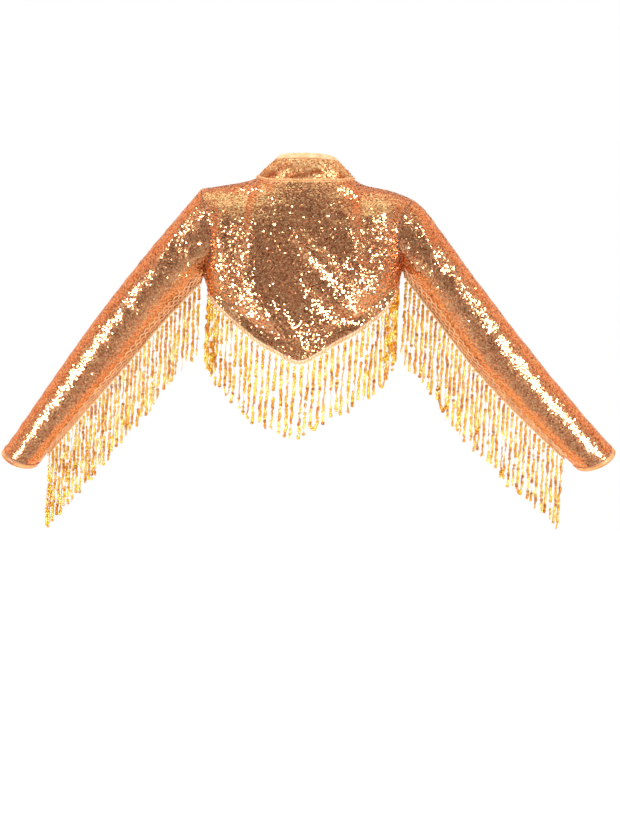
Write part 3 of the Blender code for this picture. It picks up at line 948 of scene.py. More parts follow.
def combine(tree: NodeTree, operation: str, *values: Union[float, NodeSocket]) -> NodeSocket:
    """Return the result of some arithmetic on numbers and sockets.

    Args:
        tree: The node tree.
        operation: The operation's name.
        values: Its numbers and sockets, in order.

    Returns:
        The socket of the result.
    """
    inputs = dict(enumerate(values))
    return add_node(tree, "ShaderNodeMath", inputs, operation=operation).outputs["Value"]


def blend(tree: NodeTree, share: NodeSocket, first: NodeSocket, second: str) -> NodeSocket:
    """Return a colour that runs from a socket's colour to a fixed one.

    Args:
        tree: The node tree.
        share: The socket that gives the share of the second colour.
        first: The socket of the first colour.
        second: The second colour, as sRGB hex.

    Returns:
        The socket of the mixed colour.
    """
    inputs = {0: share, 6: first, 7: linear(second)}
    return add_node(tree, "ShaderNodeMix", inputs, data_type="RGBA").outputs[2]


def new_material(name: str, settings: Dict[str, object]) -> Material:
    """Make a material.

    Args:
        name: What it really is.
        settings: The plain inputs of its Principled shader.

    Returns:
        The material.
    """
    material = bpy.data.materials.new(name)
    material.use_nodes = True
    for key, value in settings.items():
        material.node_tree.nodes["Principled BSDF"].inputs[key].default_value = value
    return material


def texture(
    material: Material, colour: NodeSocket, height: NodeSocket, relief: Tuple[float, float]
) -> Material:
    """Give a material's shader its colour and its relief.

    Args:
        material: The material.
        colour: The socket that gives the colour.
        height: The socket that gives the relief's height.
        relief: The bump's strength, and its height in metres.

    Returns:
        The material.
    """
    tree = material.node_tree
    shader = tree.nodes["Principled BSDF"]
    inputs = {"Height": height, "Strength": relief[0], "Distance": relief[1]}
    bump = add_node(tree, "ShaderNodeBump", inputs)
    tree.links.new(colour, shader.inputs["Base Color"])
    tree.links.new(bump.outputs["Normal"], shader.inputs["Normal"])
    return material


@dataclass(frozen=True)
class SequinFoil:
    """Sequins of metallised PET film: mirror-like, with each disc a slightly other tone."""

    name: str
    dark: str
    middle: str
    light: str
    # The colour that the second attribute blends toward: a painted orange glow of reflected light
    # on the cloth's sequins, painted shade in the collar's folds, a real warm tint on the cups
    warm: str
    roughness: float
    metallic: float = 1.0
    # The film is embossed by its stamping: 900 dents a metre, so one each 1.1 mm
    emboss_scale: float = 900.0
    emboss: Tuple[float, float] = (0.12, 0.0004)

    def material(self) -> Material:
        """Return the foil; it reads each disc's tone, and its warm tint with painted light, from
        attributes.

        Returns:
            The material.
        """
        settings = {"Metallic": self.metallic, "Roughness": self.roughness}
        material = new_material(self.name, settings)
        tree = material.node_tree
        tone = add_node(tree, "ShaderNodeAttribute", {}, attribute_name="tone")
        warmth_and_painted_light = add_node(tree, "ShaderNodeAttribute", {}, attribute_name="warmth_and_painted_light")
        stops = ((0.0, self.dark), (0.5, self.middle), (1.0, self.light))
        ramp = add_node(tree, "ShaderNodeValToRGB", {"Fac": tone.outputs["Fac"]}, stops)
        # Blend toward the fourth colour: painted glow and painted shade on the cloth, a real warm
        # tint on the cups
        mixed = blend(tree, warmth_and_painted_light.outputs["Fac"], ramp.outputs["Color"], self.warm)
        place = add_node(tree, "ShaderNodeTexCoord", {})
        inputs = {"Vector": place.outputs["Object"], "Scale": self.emboss_scale, "Detail": 1.0}
        dents = add_node(tree, "ShaderNodeTexNoise", inputs)
        return texture(material, mixed, dents.outputs["Fac"], self.emboss)


@dataclass(frozen=True)
class KnitBase:
    """A fine polyester knit: matt loops about a millimetre wide, with painted shade darkening the
    hollows between them.
    """

    name: str
    loop: str
    painted_hollow_shade: str
    # One loop of the knit is 1.1 mm wide
    loop_mm: float = 1.1
    painted_shade_to_loop: Tuple[float, float] = (0.0, 0.45)
    row_waver: float = 1.5
    relief: Tuple[float, float] = (0.5, 0.0006)
    roughness: float = 0.85
    sheen: float = 0.25

    def material(self) -> Material:
        """Return the knit, with ribs and rows of loops in its bump and its colour, painted darker
        in the hollows as shade.

        Returns:
            The material.
        """
        settings = {"Roughness": self.roughness, "Sheen Weight": self.sheen}
        material = new_material(self.name, settings)
        tree = material.node_tree
        place = add_node(tree, "ShaderNodeTexCoord", {}).outputs["Object"]
        scale = 1000.0 / self.loop_mm
        inputs = {"Vector": place, "Scale": scale / TURN, "Distortion": self.row_waver}
        rows = add_node(tree, "ShaderNodeTexWave", inputs, bands_direction="Z")
        loops = add_node(tree, "ShaderNodeTexVoronoi", {"Vector": place, "Scale": scale})
        height = combine(tree, "MULTIPLY", rows.outputs["Fac"], loops.outputs["Distance"])
        # The hollows between the loops take a darker copy of the colour: painted shade
        stops = tuple(zip(self.painted_shade_to_loop, (self.painted_hollow_shade, self.loop)))
        ramp = add_node(tree, "ShaderNodeValToRGB", {"Fac": height}, stops)
        return texture(material, ramp.outputs["Color"], height, self.relief)


@dataclass(frozen=True)
class SatinBinding:
    """A woven satin strip of long floats; its colour runs in slow patches between a bright and a
    deep copy: painted sheen and painted shade.
    """

    name: str
    # The painted sheen's colour, then the painted shade's
    bright: str
    deep: str
    roughness: float
    # One thread is 0.6 mm thick, and the painted sheen turns about every 17 mm
    thread_mm: float = 0.6
    shade_scale: float = 60.0
    deep_to_bright: Tuple[float, float] = (0.32, 0.62)
    relief: Tuple[float, float] = (0.25, 0.0003)
    sheen: float = 0.3

    def material(self) -> Material:
        """Return the satin, with fine threads in its bump and slow turns of painted sheen in its
        colour.

        Returns:
            The material.
        """
        settings = {"Roughness": self.roughness, "Sheen Weight": self.sheen}
        material = new_material(self.name, settings)
        tree = material.node_tree
        place = add_node(tree, "ShaderNodeTexCoord", {}).outputs["Object"]
        inputs = {"Vector": place, "Scale": self.shade_scale, "Detail": 3.0}
        shade = add_node(tree, "ShaderNodeTexNoise", inputs)
        # Bright and deep copies of one colour, mixed by slow noise: painted sheen and shade
        stops = tuple(zip(self.deep_to_bright, (self.deep, self.bright)))
        ramp = add_node(tree, "ShaderNodeValToRGB", {"Fac": shade.outputs["Fac"]}, stops)
        inputs = {"Vector": place, "Scale": 1000.0 / self.thread_mm, "Detail": 0.0}
        threads = add_node(tree, "ShaderNodeTexNoise", inputs)
        return texture(material, ramp.outputs["Color"], threads.outputs["Fac"], self.relief)


@dataclass(frozen=True)
class Finishes:
    """Every material of the shrug."""

    foil: Material
    collar_foil: Material
    cups: Material
    knit: Material
    inner: Material
    tape: Material
    satin: Material
    binding: Material
    thread: Material
    neck_tape: Material
    orange_thread: Material
    dark_thread: Material


def make_finishes() -> Finishes:
    """Make the shrug's materials.

    Returns:
        The materials.
    """
    return Finishes(
        # Mirror-like copper discs: white flashes, brown where they face the dim side; the light
        # orange is a painted glow of reflected light under the arms
        foil=SequinFoil(
            "copper PET film sequins", "#A0583A", "#F2A070", "#FFD29C", "#FFC48E", 0.13
        ).material(),
        # Half matt discs: the collar glows softly in gold, with few flashes; the dark orange brown
        # is painted shade in its folds
        collar_foil=SequinFoil(
            "satin gold PET film sequins", "#8E5228", "#E6A468", "#FFE0AC", "#A4521F", 0.36, 0.62
        ).material(),
        # Yellow gold cups: bright beads with orange and brown ones between them
        cups=SequinFoil(
            "gold PET film cup sequins", "#B0660E", "#FFC634", "#FFF488", "#F0941C", 0.20, 0.62
        ).material(),
        # Matt copper ground that shows between the sequins, with painted shade in the hollows of
        # its knit
        knit=KnitBase("copper polyester knit", "#E2A068", "#AC6C42").material(),
        # Plain tan inside, without shine, with painted shade in the hollows of its knit
        inner=KnitBase("tan polyester knit lining", "#C79A74", "#9C6E4C").material(),
        # Pale cream edge between the cloth and the strands
        tape=SatinBinding("cream braided header tape", "#FFECC4", "#F4C888", 0.45).material(),
        # Smooth cuff hem, with a soft painted orange sheen
        satin=SatinBinding("copper satin hem facing", "#F0B470", "#B06430", 0.30).material(),
        # Pale smooth edge of the collar, and the threads along the under seam
        binding=SatinBinding("tan satin collar binding", "#F4C594", "#DFA068", 0.40).material(),
        # The strands' own thread, gold where the cups leave it bare
        thread=SatinBinding("gold polyester thread", "#F2C27A", "#D79A4C", 0.50).material(),
        # Mottled gold strip at the collar's foot; its painted sheen and shade turn every 2.4 mm
        neck_tape=SatinBinding(
            "gold woven neck tape", "#F2BE7C", "#B8743C", 0.50, 0.6, 420.0
        ).material(),
        # Orange stitches and braid that draw the edges
        orange_thread=SatinBinding(
            "orange polyester sewing thread", "#E89850", "#C4682C", 0.50
        ).material(),
        # Dark stitches that draw the armhole seams
        dark_thread=SatinBinding(
            "brown polyester sewing thread", "#8A4A2C", "#5C2E1C", 0.55
        ).material(),
    )


def add_object(name: str, data: ID) -> Object:
    """Return a new object in the scene.

    Args:
        name: Its name.
        data: Its mesh, light or camera.

    Returns:
        The object.
    """
    added = bpy.data.objects.new(name, data)
    bpy.context.scene.collection.objects.link(added)
    return added


def mesh_from(bm: BMesh, name: str) -> Mesh:
    """Turn a bmesh into a mesh, and free it.

    Args:
        bm: The bmesh.
        name: The mesh's name.

    Returns:
        The mesh.
    """
    mesh = bpy.data.meshes.new(name)
    bm.to_mesh(mesh)
    bm.free()
    return mesh


def new_piece(name: str, mesh: Mesh, materials: Sequence[Material], slot: str) -> Object:
    """Return a mesh as a piece that rides on the garment's one body.

    Args:
        name: The piece's name.
        mesh: Its mesh.
        materials: Its material slots.
        slot: Not used.

    Returns:
        The piece.
    """
    piece = add_object(name, mesh)
    for material in materials:
        mesh.materials.append(material)
    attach(piece, "root")
    LOG.info("%s: %d faces", name, len(mesh.polygons))
    return piece


def shell(
    name: str, surface: ClothSurface, wall: float, materials: Sequence[Material], slot: str
) -> Object:
    """Return a surface as cloth with a wall; a second material lines its inside.

    Args:
        name: The piece's name.
        surface: The outer face.
        wall: The cloth's thickness.
        materials: The outer material, and the inner one where it differs.
        slot: Not used.

    Returns:
        The piece.
    """
    bm = surface.grid()
    for face in bm.faces:
        face.smooth = True
    piece = new_piece(name, mesh_from(bm, name), materials, slot)
    solidify = piece.modifiers.new("wall", "SOLIDIFY")
    solidify.thickness = wall
    solidify.offset = -1.0
    solidify.material_offset = len(materials) - 1
    return piece


def cords(
    name: str,
    lines: Sequence[np.ndarray],
    size: Tuple[float, float],
    finish: Material,
    slot: str,
    sides: int = 8,
) -> Object:
    """Return oval cords of cloth or thread along lines, as one piece.

    Args:
        name: The piece's name.
        lines: The points of each line.
        size: Half the height and half the depth of a cord.
        finish: Its material.
        slot: Not used.
        sides: The number of faces round a cord.

    Returns:
        The piece.
    """
    mesh = bpy.data.meshes.new(name)
    joined = bmesh.new()
    turns = np.linspace(0.0, 2.0 * np.pi, sides + 1)
    for points in lines:
        tangent = unit(np.gradient(points, axis=0))
        level = (0.0, 0.0, 1.0) if abs(tangent[0, 2]) < STEEP else (0.0, 1.0, 0.0)
        side = unit(np.cross(tangent, level))
        lift = np.cross(side, tangent) * size[0]
        ring = [points + side * size[1] * math.cos(a) + lift * math.sin(a) for a in turns]
        tube = ClothSurface(np.stack(ring, axis=1), points[:, None], True).grid()
        bmesh.ops.holes_fill(tube, edges=tube.edges[:], sides=sides)
        tube.to_mesh(mesh)
        tube.free()
        joined.from_mesh(mesh)
    for face in joined.faces:
        face.smooth = len(face.verts) == 4
    joined.to_mesh(mesh)
    joined.free()
    return new_piece(name, mesh, (finish,), slot)


class SmallShape:
    """A small shape that is repeated many times, as arrays taken from a bmesh."""

    def __init__(self, bm: BMesh) -> None:
        """Take a bmesh's points and faces, and free it.

        Args:
            bm: The bmesh.
        """
        bm.verts.index_update()
        self.points = np.array([vert.co[:] for vert in bm.verts])
        self.faces = [[vert.index for vert in face.verts] for face in bm.faces]
        bm.free()

    def repeat(
        self, name: str, places: np.ndarray, frames: np.ndarray, values: Dict[str, np.ndarray]
    ) -> Mesh:
        """Return one mesh with a copy of the shape at every place.

        Args:
            name: The mesh's name.
            places: One point per copy.
            frames: Three scaled axes per copy, as the rows of a 3 by 3 array.
            values: Attribute names, each with one number per copy.

        Returns:
            The mesh.
        """
        count, size = len(places), len(self.points)
        points = np.einsum("pk,nkc->npc", self.points, frames) + places[:, None]
        loops = np.array([index for face in self.faces for index in face])
        totals = np.array([len(face) for face in self.faces])
        offsets = (np.arange(count) * size)[:, None]
        mesh = bpy.data.meshes.new(name)
        mesh.vertices.add(count * size)
        mesh.vertices.foreach_set("co", points.astype(np.float32).ravel())
        mesh.loops.add(count * len(loops))
        mesh.loops.foreach_set("vertex_index", (loops[None] + offsets).ravel().astype(np.int32))
        mesh.polygons.add(count * len(totals))
        starts = np.concatenate(((0,), np.cumsum(np.tile(totals, count))[:-1]))
        mesh.polygons.foreach_set("loop_start", starts.astype(np.int32))
        mesh.update(calc_edges=True)
        for key, numbers in values.items():
            layer = mesh.attributes.new(key, "FLOAT", "POINT")
            layer.data.foreach_set("value", np.repeat(numbers, size).astype(np.float32))
        return mesh


def disc_shape() -> SmallShape:
    """Make a flat sequin of diameter 1, punched as a hexagon.

    Returns:
        The sequin, facing +Z.
    """
    bm = bmesh.new()
    bmesh.ops.create_circle(bm, cap_ends=True, segments=6, radius=0.5)
    bm.normal_update()
    if next(iter(bm.faces)).normal.z < 0.0:
        bmesh.ops.reverse_faces(bm, faces=bm.faces[:])
    return SmallShape(bm)


def cup_shape() -> SmallShape:
    """Make a faceted cup sequin of diameter 1, with both ends closed.

    Returns:
        The sequin, with its narrow back toward +Z.
    """
    bm = bmesh.new()
    bmesh.ops.create_cone(
        bm, cap_ends=True, segments=7, radius1=0.5, radius2=CUP_BACK, depth=CUP_DEPTH
    )
    return SmallShape(bm)


@dataclass(frozen=True)
class SequinLay:
    """Flat sequins in staggered rows that overlap downward like scales."""

    diameter: float = 0.0031
    pitch: float = 0.00262
    row_gap: float = 0.00232
    proud: float = 0.00075
    uneven: float = 0.0002
    # As sines: how far each tips over the next, and all by chance, and the loose ones' own tilt
    scale_tilt: float = 0.09
    tilt: float = 0.11
    loose_share: float = 0.06
    loose_tilt: float = 0.34
    # How far they stray from their places, as shares of the pitch and of the row gap
    stray: float = 0.06
    row_stray: float = 0.08
    # How many of the places are filled, at most all, and the bare edge along the seams
    fill: float = 1.05
    bare_edge: float = 0.0014
    # What is left of the chance tilt at the panel's lower end
    calm: float = 1.0
    # Where the foil's ramp is read: its middle, chance, and how much lighter loose ones look
    tone: float = 0.5
    tone_spread: float = 0.24
    loose_tone: float = 0.15
    # Lines along which the sequins sag and carry painted light (a reflected glow on the cloth,
    # fold shade on the collar), turn to a strip light, or face straight back
    sag_and_painted_light_lines: Tuple[Fold, ...] = SAG_AND_PAINTED_GLOW_LINES
    turned_lines: Tuple[Fold, ...] = ()
    turned_facing: Tuple[float, float, float] = (0.476, -0.877, -0.060)
    turned_spread: float = 0.04
    calm_lines: Tuple[Fold, ...] = ()
    level_facing: Tuple[float, float, float] = (0.0, -1.0, -0.05)
    # How far sagged ones face down, and how much flatter they lie where the cloth faces up
    droop: float = 0.36
    stretch: float = 0.6

    def cover(
        self, name: str, surface: ClothSurface, finish: Material, slot: str, seed: int
    ) -> Object:
        """Return the sequins of one panel as a piece.

        Args:
            name: The piece's name.
            surface: The cloth that they are sewn on.
            finish: Their material.
            slot: Not used.
            seed: The seed of their small differences.

        Returns:
            The piece.
        """
        draw = np.random.default_rng(seed)
        u, v = self.stations(surface, draw)
        places, across, _ = surface.sample(u, v)
        outward = surface.outward(u, v)
        across = unit(across - outward * np.sum(across * outward, axis=1, keepdims=True))
        down = np.cross(outward, across)
        down = down * np.sign(np.sum(down * surface.sample(u, v)[2], axis=1, keepdims=True))
        count = len(u)
        loose = draw.random(count) < self.loose_share
        spread = np.where(loose, self.loose_tilt, self.tilt) * (1.0 + (self.calm - 1.0) * v)
        flat = 1.0 - self.stretch * np.clip(outward[:, 2], 0.0, 1.0)
        swing = draw.normal(size=(count, 2)) * (spread * flat)[:, None]
        facing = outward - down * (self.scale_tilt * flat[:, None] - swing[:, 1:])
        facing = facing + across * swing[:, :1]
        facing = self.turned(unit(facing), places, draw)
        spin = draw.uniform(0.0, np.pi, count)[:, None]
        side = unit(np.cross(down, facing))
        other = np.cross(facing, side)
        first = side * np.cos(spin) + other * np.sin(spin)
        second = np.cross(facing, first)
        frames = np.stack((first, second, facing), axis=1) * self.diameter
        height = self.proud * flat + draw.uniform(-self.uneven, self.uneven, count)
        places = places + outward * height[:, None]
        tone = draw.normal(self.tone, self.tone_spread, count)
        tone = np.clip(tone + np.where(loose, self.loose_tone, 0.0), 0.0, 1.0)
        # Painted light by place: an orange glow of reflected light where the cloth sags, and shade
        # in the collar's folds
        warmth_and_painted_light = np.clip(fold_height(self.sag_and_painted_light_lines, places), 0.0, 1.0)
        values = {"tone": tone, "warmth_and_painted_light": warmth_and_painted_light}
        mesh = disc_shape().repeat(name, places, frames, values)
        return new_piece(name, mesh, (finish,), slot)

    def turned(
        self, facing: np.ndarray, places: np.ndarray, draw: np.random.Generator
    ) -> np.ndarray:
        """Return the ways that the sequins face once creases and sags have turned some.

        Args:
            facing: One unit vector per sequin.
            places: One point per sequin.
            draw: The source of their small differences.

        Returns:
            The new unit vectors.
        """
        lean = fold_height(self.turned_lines, places)
        over = (draw.random(len(lean)) < np.abs(lean))[:, None]
        same = np.ones(len(lean))
        target = np.array(self.turned_facing) * np.stack((np.sign(lean), same, same), axis=1)
        target = target + draw.normal(0.0, self.turned_spread, target.shape)
        sag = np.clip(fold_height(self.sag_and_painted_light_lines, places), 0.0, 1.0)
        sagged = facing - sag[:, None] * (0.0, 0.0, self.droop)
        level = draw.random(len(lean)) < fold_height(self.calm_lines, places)
        flush = draw.normal(self.level_facing, self.tilt, target.shape)
        settled = np.where(level[:, None], flush, sagged)
        return unit(np.where(over, target, settled))

    def stations(
        self, surface: ClothSurface, draw: np.random.Generator
    ) -> Tuple[np.ndarray, np.ndarray]:
        """Return where the sequins sit, as shares across and down.

        Args:
            surface: The cloth.
            draw: The source of their small differences.

        Returns:
            Shares across and shares down.
        """
        rows = int(surface.column_lengths().max() / self.row_gap)
        fine = np.linspace(0.0, 1.0, 4 * surface.points.shape[1])
        all_u, all_v = [], []
        for row in range(rows):
            v = (row + 0.5) / rows
            line = surface.sample(fine, np.full_like(fine, v))[0]
            steps = np.linalg.norm(np.diff(line, axis=0), axis=1)
            reached = np.concatenate(((0.0,), np.cumsum(steps)))
            count = int(reached[-1] / self.pitch)
            if count < 2:
                continue
            # Every other row is set on by half a pitch
            spots = (np.arange(count) + 0.25 + 0.5 * (row % 2)) / count
            spots = spots + draw.normal(0.0, self.stray, count) / count
            if surface.closed:
                spots = spots % 1.0
            else:
                clear = self.bare_edge / reached[-1]
                spots = spots[(spots > clear) & (spots < 1.0 - clear)]
            all_u.append(np.interp(spots * reached[-1], reached, fine))
            all_v.append(np.full(len(spots), v))
        u, v = np.concatenate(all_u), np.concatenate(all_v)
        v = v + draw.normal(0.0, self.row_stray, len(v)) / rows
        fall = np.linalg.norm(surface.sample(u, v)[2], axis=1)
        kept = draw.random(len(u)) < fall / rows / self.row_gap * self.fill
        kept &= (v * fall > self.bare_edge) & ((1.0 - v) * fall > self.bare_edge)
        return u[kept], v[kept]


@dataclass(frozen=True)
class FringeRow:
    """A header tape with hanging strings of cup sequins."""

    name: str
    strands: int
    span: Tuple[float, float]
    lengths: Tuple[Length, ...]
    seed: int
    joined: Tuple[int, ...]
    header_height: float = 0.0075
    tape_cords: int = 3
    tape_depth: float = 0.0012
    tape_squeeze: float = 0.92
    header_steps: int = 181
    # The braid's zigzag: its step, its two heights as shares of the tape, and how far it strays
    braid_step: float = 0.0034
    braid_rows: Tuple[float, float] = (0.16, 0.78)
    braid_stray: float = 0.0005
    braid_thread: float = 0.0018
    # How far a strand leans, as a share of its length, and how it sways in a slow wave
    strand_lean: float = -0.058
    strand_sway: float = 0.0022
    strand_wave: float = 4.0
    strand_points: int = 15
    length_spread: Tuple[float, float] = (0.95, 1.04)
    # Kinks of a string: their height, its shares by chance, their rates, and the points over
    # which they grow
    wobble: float = 0.0011
    kink_shares: Tuple[float, float] = (0.2, 0.6)
    kink_rates: Tuple[float, ...] = (0.9, 1.9, 3.1)
    kinks_from: float = 3.0
    thread: float = 0.0009
    cup: float = 0.0064
    cup_gap: float = 0.0040
    cup_stray: float = 0.12
    cup_tilt: float = 0.42
    # How the cups turn about the thread: all of a string, and in slow waves along it
    string_turn: float = 0.7
    wave_turn: Tuple[float, float] = (0.3, 0.9)
    wave_length: Tuple[float, float] = (0.012, 0.03)
    # Bare stretches of thread: their number on a string, their length and where they start
    bare_runs: float = 0.9
    bare_length: Tuple[float, float] = (0.004, 0.013)
    bare_from: float = 0.02
    # Patches of darker and warmer cups along a string, and how far they and chance go
    patch: float = 0.009
    patch_ratio: float = 2.3
    patch_tone: float = 0.40
    tone: float = 0.5
    tone_spread: float = 0.25
    patch_warmth: float = 0.6
    warmth_spread: float = 0.22

    def strand_line(self, header: Line, root: float, k: int, sway: random.Random) -> np.ndarray:
        """Return the points that a strand follows, from its root down.

        Args:
            header: The header's top edge.
            root: The strand's share of the header.
            k: The strand's number.
            sway: The source of the strands' small differences.

        Returns:
            The points.
        """
        start = header(root) - np.array((0.0, 0.0, self.header_height))
        length = spline(self.lengths, k / (self.strands - 1))[0]
        length *= sway.uniform(*self.length_spread)
        phase = sway.uniform(0.0, 2.0 * math.pi)
        swing = self.strand_sway * sway.uniform(-0.5, 0.5)
        steps = np.linspace(0.0, 1.0, self.strand_points)
        wave = np.sin(phase + self.strand_wave * steps) - math.sin(phase)
        points = np.repeat(start[None], len(steps), axis=0)
        points[:, 0] += steps * (self.strand_lean * length + self.strand_sway * wave / 2)
        points[:, 1] += steps * swing
        points[:, 2] -= length * steps
        return points

    def lines(self, header: Line) -> List[np.ndarray]:
        """Return every string's line; a joined pair hangs as one loop.

        Args:
            header: The header's top edge.

        Returns:
            One array of points per string.
        """
        sway = random.Random(self.seed)
        first, last = self.span
        roots = [first + (last - first) * (k + 0.5) / self.strands for k in range(self.strands)]
        single = [self.strand_line(header, root, k, sway) for k, root in enumerate(roots)]
        lines = []
        k = 0
        while k < self.strands:
            if k in self.joined and k + 1 < self.strands:
                down, up = single[k], single[k + 1][::-1]
                low = min(down[-1, 2], up[0, 2])
                middle = (down[-2] + up[1]) / 2.0
                middle[2] = low
                lines.append(np.concatenate((down[:-1], middle[None], up[1:])))
                k += 2
            else:
                lines.append(single[k])
                k += 1
        return lines

    def wobbled(self, line: np.ndarray, draw: np.random.Generator) -> np.ndarray:
        """Return a string's line with small kinks, still fixed at its first point.

        Args:
            line: The points that the string follows.
            draw: The source of the kinks.

        Returns:
            Four points for each that the line had.
        """
        fine = np.linspace(0.0, len(line) - 1.0, 4 * len(line))
        spots = np.arange(len(line))
        points = np.stack([np.interp(fine, spots, line[:, c]) for c in range(3)], axis=1)
        grow = np.minimum(1.0, fine / self.kinks_from)
        for axis in (0, 1):
            kinks = sum(
                draw.uniform(*self.kink_shares) * np.sin(fine * rate + draw.uniform(0.0, PHASES))
                for rate in self.kink_rates
            )
            points[:, axis] += self.wobble * grow * kinks
        return points

    def tape(self, header: Line, finish: Material) -> Object:
        """Return the braided header tape.

        Args:
            header: The header's top edge.
            finish: Its material.

        Returns:
            The piece.
        """
        top = np.array([header(share) for share in np.linspace(*self.span, self.header_steps)])
        rise = self.header_height / self.tape_cords
        lines = [top - (0.0, 0.0, (k + 0.5) * rise) for k in range(self.tape_cords)]
        size = (rise * self.tape_squeeze / 2.0, self.tape_depth)
        return cords(f"{self.name}_tape", lines, size, finish, self.name)

    def braid(self, header: Line, finish: Material) -> Object:
        """Return the coloured threads that cross the tape in zigzags, on both faces.

        Args:
            header: The header's top edge.
            finish: Their material.

        Returns:
            The piece.
        """
        ends = np.array([header(share) for share in np.linspace(*self.span, self.header_steps)])
        length = float(np.linalg.norm(np.diff(ends, axis=0), axis=1).sum())
        turns = np.arange(int(length / self.braid_step) + 1)
        shares = self.span[0] + (self.span[1] - self.span[0]) * turns / turns[-1]
        top = np.array([header(share) for share in shares])
        along = unit(np.gradient(top, axis=0) * (1.0, 1.0, 0.0))
        away = np.cross(along, (0.0, 0.0, 1.0)) * self.tape_depth
        drop = np.where(turns % 2 == 0, *self.braid_rows) * self.header_height
        stray = np.random.default_rng(self.seed).normal(0.0, self.braid_stray, len(turns))
        drop = drop + stray
        middle = top - drop[:, None] * (0.0, 0.0, 1.0)
        size = (self.braid_thread / 2.0, self.braid_thread / 2.0)
        lines = (middle + away, middle - away)
        return cords(f"{self.name}_braid", lines, size, finish, self.name, 4)

    def cups_on(self, line: np.ndarray, draw: np.random.Generator) -> Tuple[np.ndarray, ...]:
        """Return where the cups of one string sit, and how they turn.

        Args:
            line: The points that the string follows.
            draw: The source of their small differences.

        Returns:
            Each cup's place, the string's direction there, the cup's turn about the string
            and how far it is part of a dark, warm patch.
        """
        steps = np.linalg.norm(np.diff(line, axis=0), axis=1)
        reached = np.concatenate(((0.0,), np.cumsum(steps)))
        spots = np.arange(self.cup_gap, reached[-1], self.cup_gap)
        spots = spots + draw.normal(0.0, self.cup_stray, len(spots)) * self.cup_gap
        for _ in range(draw.poisson(self.bare_runs)):
            bare = draw.uniform(self.bare_from, reached[-1])
            spots = spots[np.abs(spots - bare) > draw.uniform(*self.bare_length) / 2.0]
        at = np.stack([np.interp(spots, reached, line[:, c]) for c in range(3)], axis=1)
        turn = draw.uniform(-self.string_turn, self.string_turn)
        turn = turn + draw.uniform(*self.wave_turn) * np.sin(
            spots / draw.uniform(*self.wave_length) + draw.uniform(0.0, PHASES)
        )
        patch = np.sin(spots / self.patch + draw.uniform(0.0, PHASES))
        slow = spots / self.patch / self.patch_ratio
        patch = patch * np.sin(slow + draw.uniform(0.0, PHASES))
        return at, unit(np.gradient(at, axis=0)), turn, patch

    def strings(self, header: Line, cups: Material, thread: Material) -> Tuple[Object, Object]:
        """Return the cup sequins and the threads that carry them.

        Args:
            header: The header's top edge.
            cups: The cup sequins' material.
            thread: The threads' material.

        Returns:
            The two pieces.
        """
        draw = np.random.default_rng(self.seed)
        lines = [self.wobbled(line, draw) for line in self.lines(header)]
        strings = [self.cups_on(line, draw) for line in lines]
        centre, tangent, twist, patch = (np.concatenate(part) for part in zip(*strings))
        twist = twist[:, None]
        size = (self.thread / 2.0, self.thread / 2.0)
        threads = cords(f"{self.name}_threads", lines, size, thread, self.name, 4)
        count = len(centre)
        back = np.array((0.0, -1.0, 0.0))
        back = unit(back - tangent * (tangent @ back)[:, None])
        side = np.cross(tangent, back)
        facing = back * np.cos(twist) + side * np.sin(twist)
        tilts = draw.normal(0.0, self.cup_tilt, (count, 2))
        facing = unit(facing + tangent * tilts[:, :1] + side * tilts[:, 1:])
        along = unit(tangent - facing * np.sum(tangent * facing, axis=1, keepdims=True))
        other = np.cross(facing, along)
        frames = np.stack((along, other, facing), axis=1) * self.cup
        tone = self.tone - self.patch_tone * patch
        tone = np.clip(tone + draw.normal(0.0, self.tone_spread, count), 0.0, 1.0)
        warmth_and_painted_light = self.patch_warmth * patch + draw.normal(0.0, self.warmth_spread, count)
        warmth_and_painted_light = np.clip(warmth_and_painted_light, 0.0, 1.0)
        mesh = cup_shape().repeat(
            f"{self.name}_cups", centre, frames, {"tone": tone, "warmth_and_painted_light": warmth_and_painted_light}
        )
        return new_piece(f"{self.name}_cups", mesh, (cups,), self.name), threads

    def build(self, header: Line, finishes: Finishes) -> List[Object]:
        """Build the tape, its braid and the strings of cup sequins.

        Args:
            header: The header's top edge.
            finishes: The materials.

        Returns:
            The pieces.
        """
        tape = self.tape(header, finishes.tape)
        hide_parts(self.name)
        braid = self.braid(header, finishes.orange_thread)
        cups, threads = self.strings(header, finishes.cups, finishes.thread)
        return [tape, braid, cups, threads]


def line_through(points: np.ndarray) -> Line:
    """Return a function that finds places on the line through points.

    Args:
        points: The line's points.

    Returns:
        The function, from a share of the line's length to the place there.
    """
    spans = np.linalg.norm(np.diff(points, axis=0), axis=1)
    reached = np.concatenate(((0.0,), np.cumsum(spans))) / spans.sum()

    def line(s: float) -> np.ndarray:
        """Return a place on the line.

        Args:
            s: The share of its length.

        Returns:
            The point.
        """
        low = min(max(int(np.searchsorted(reached, s, side="right")) - 1, 0), len(spans) - 1)
        share = (s - reached[low]) / (reached[low + 1] - reached[low])
        return points[low] * (1.0 - share) + points[low + 1] * share

    return line


def stitches(points: np.ndarray, length: float, gap: float) -> List[np.ndarray]:
    """Return the stitches that show along a line.

    Args:
        points: The line's points.
        length: A stitch's length.
        gap: The space between two stitches.

    Returns:
        Four points per stitch.
    """
    line = line_through(points)
    total = float(np.linalg.norm(np.diff(points, axis=0), axis=1).sum())
    starts = np.arange(gap, total - length, length + gap)
    return [np.array([line((a + length * k / 3) / total) for k in range(4)]) for a in starts]


def declare_sheet(
    cloth: Object, surface: ClothSurface, cut: Cut
) -> None:
    """Report a cloth's sizes across and down, and its area.

    Args:
        cloth: The piece of cloth.
        surface: Its outer face.
        cut: Its flat size and its area; not used.
    """
    widths, lengths = surface.row_lengths(), surface.column_lengths()
    LOG.info(
        "%s: across %.3f to %.3f, down %.3f to %.3f, area %.4f", cloth.name,
        widths.min(), widths.max(), lengths.min(), lengths.max(), surface.area(),
    )


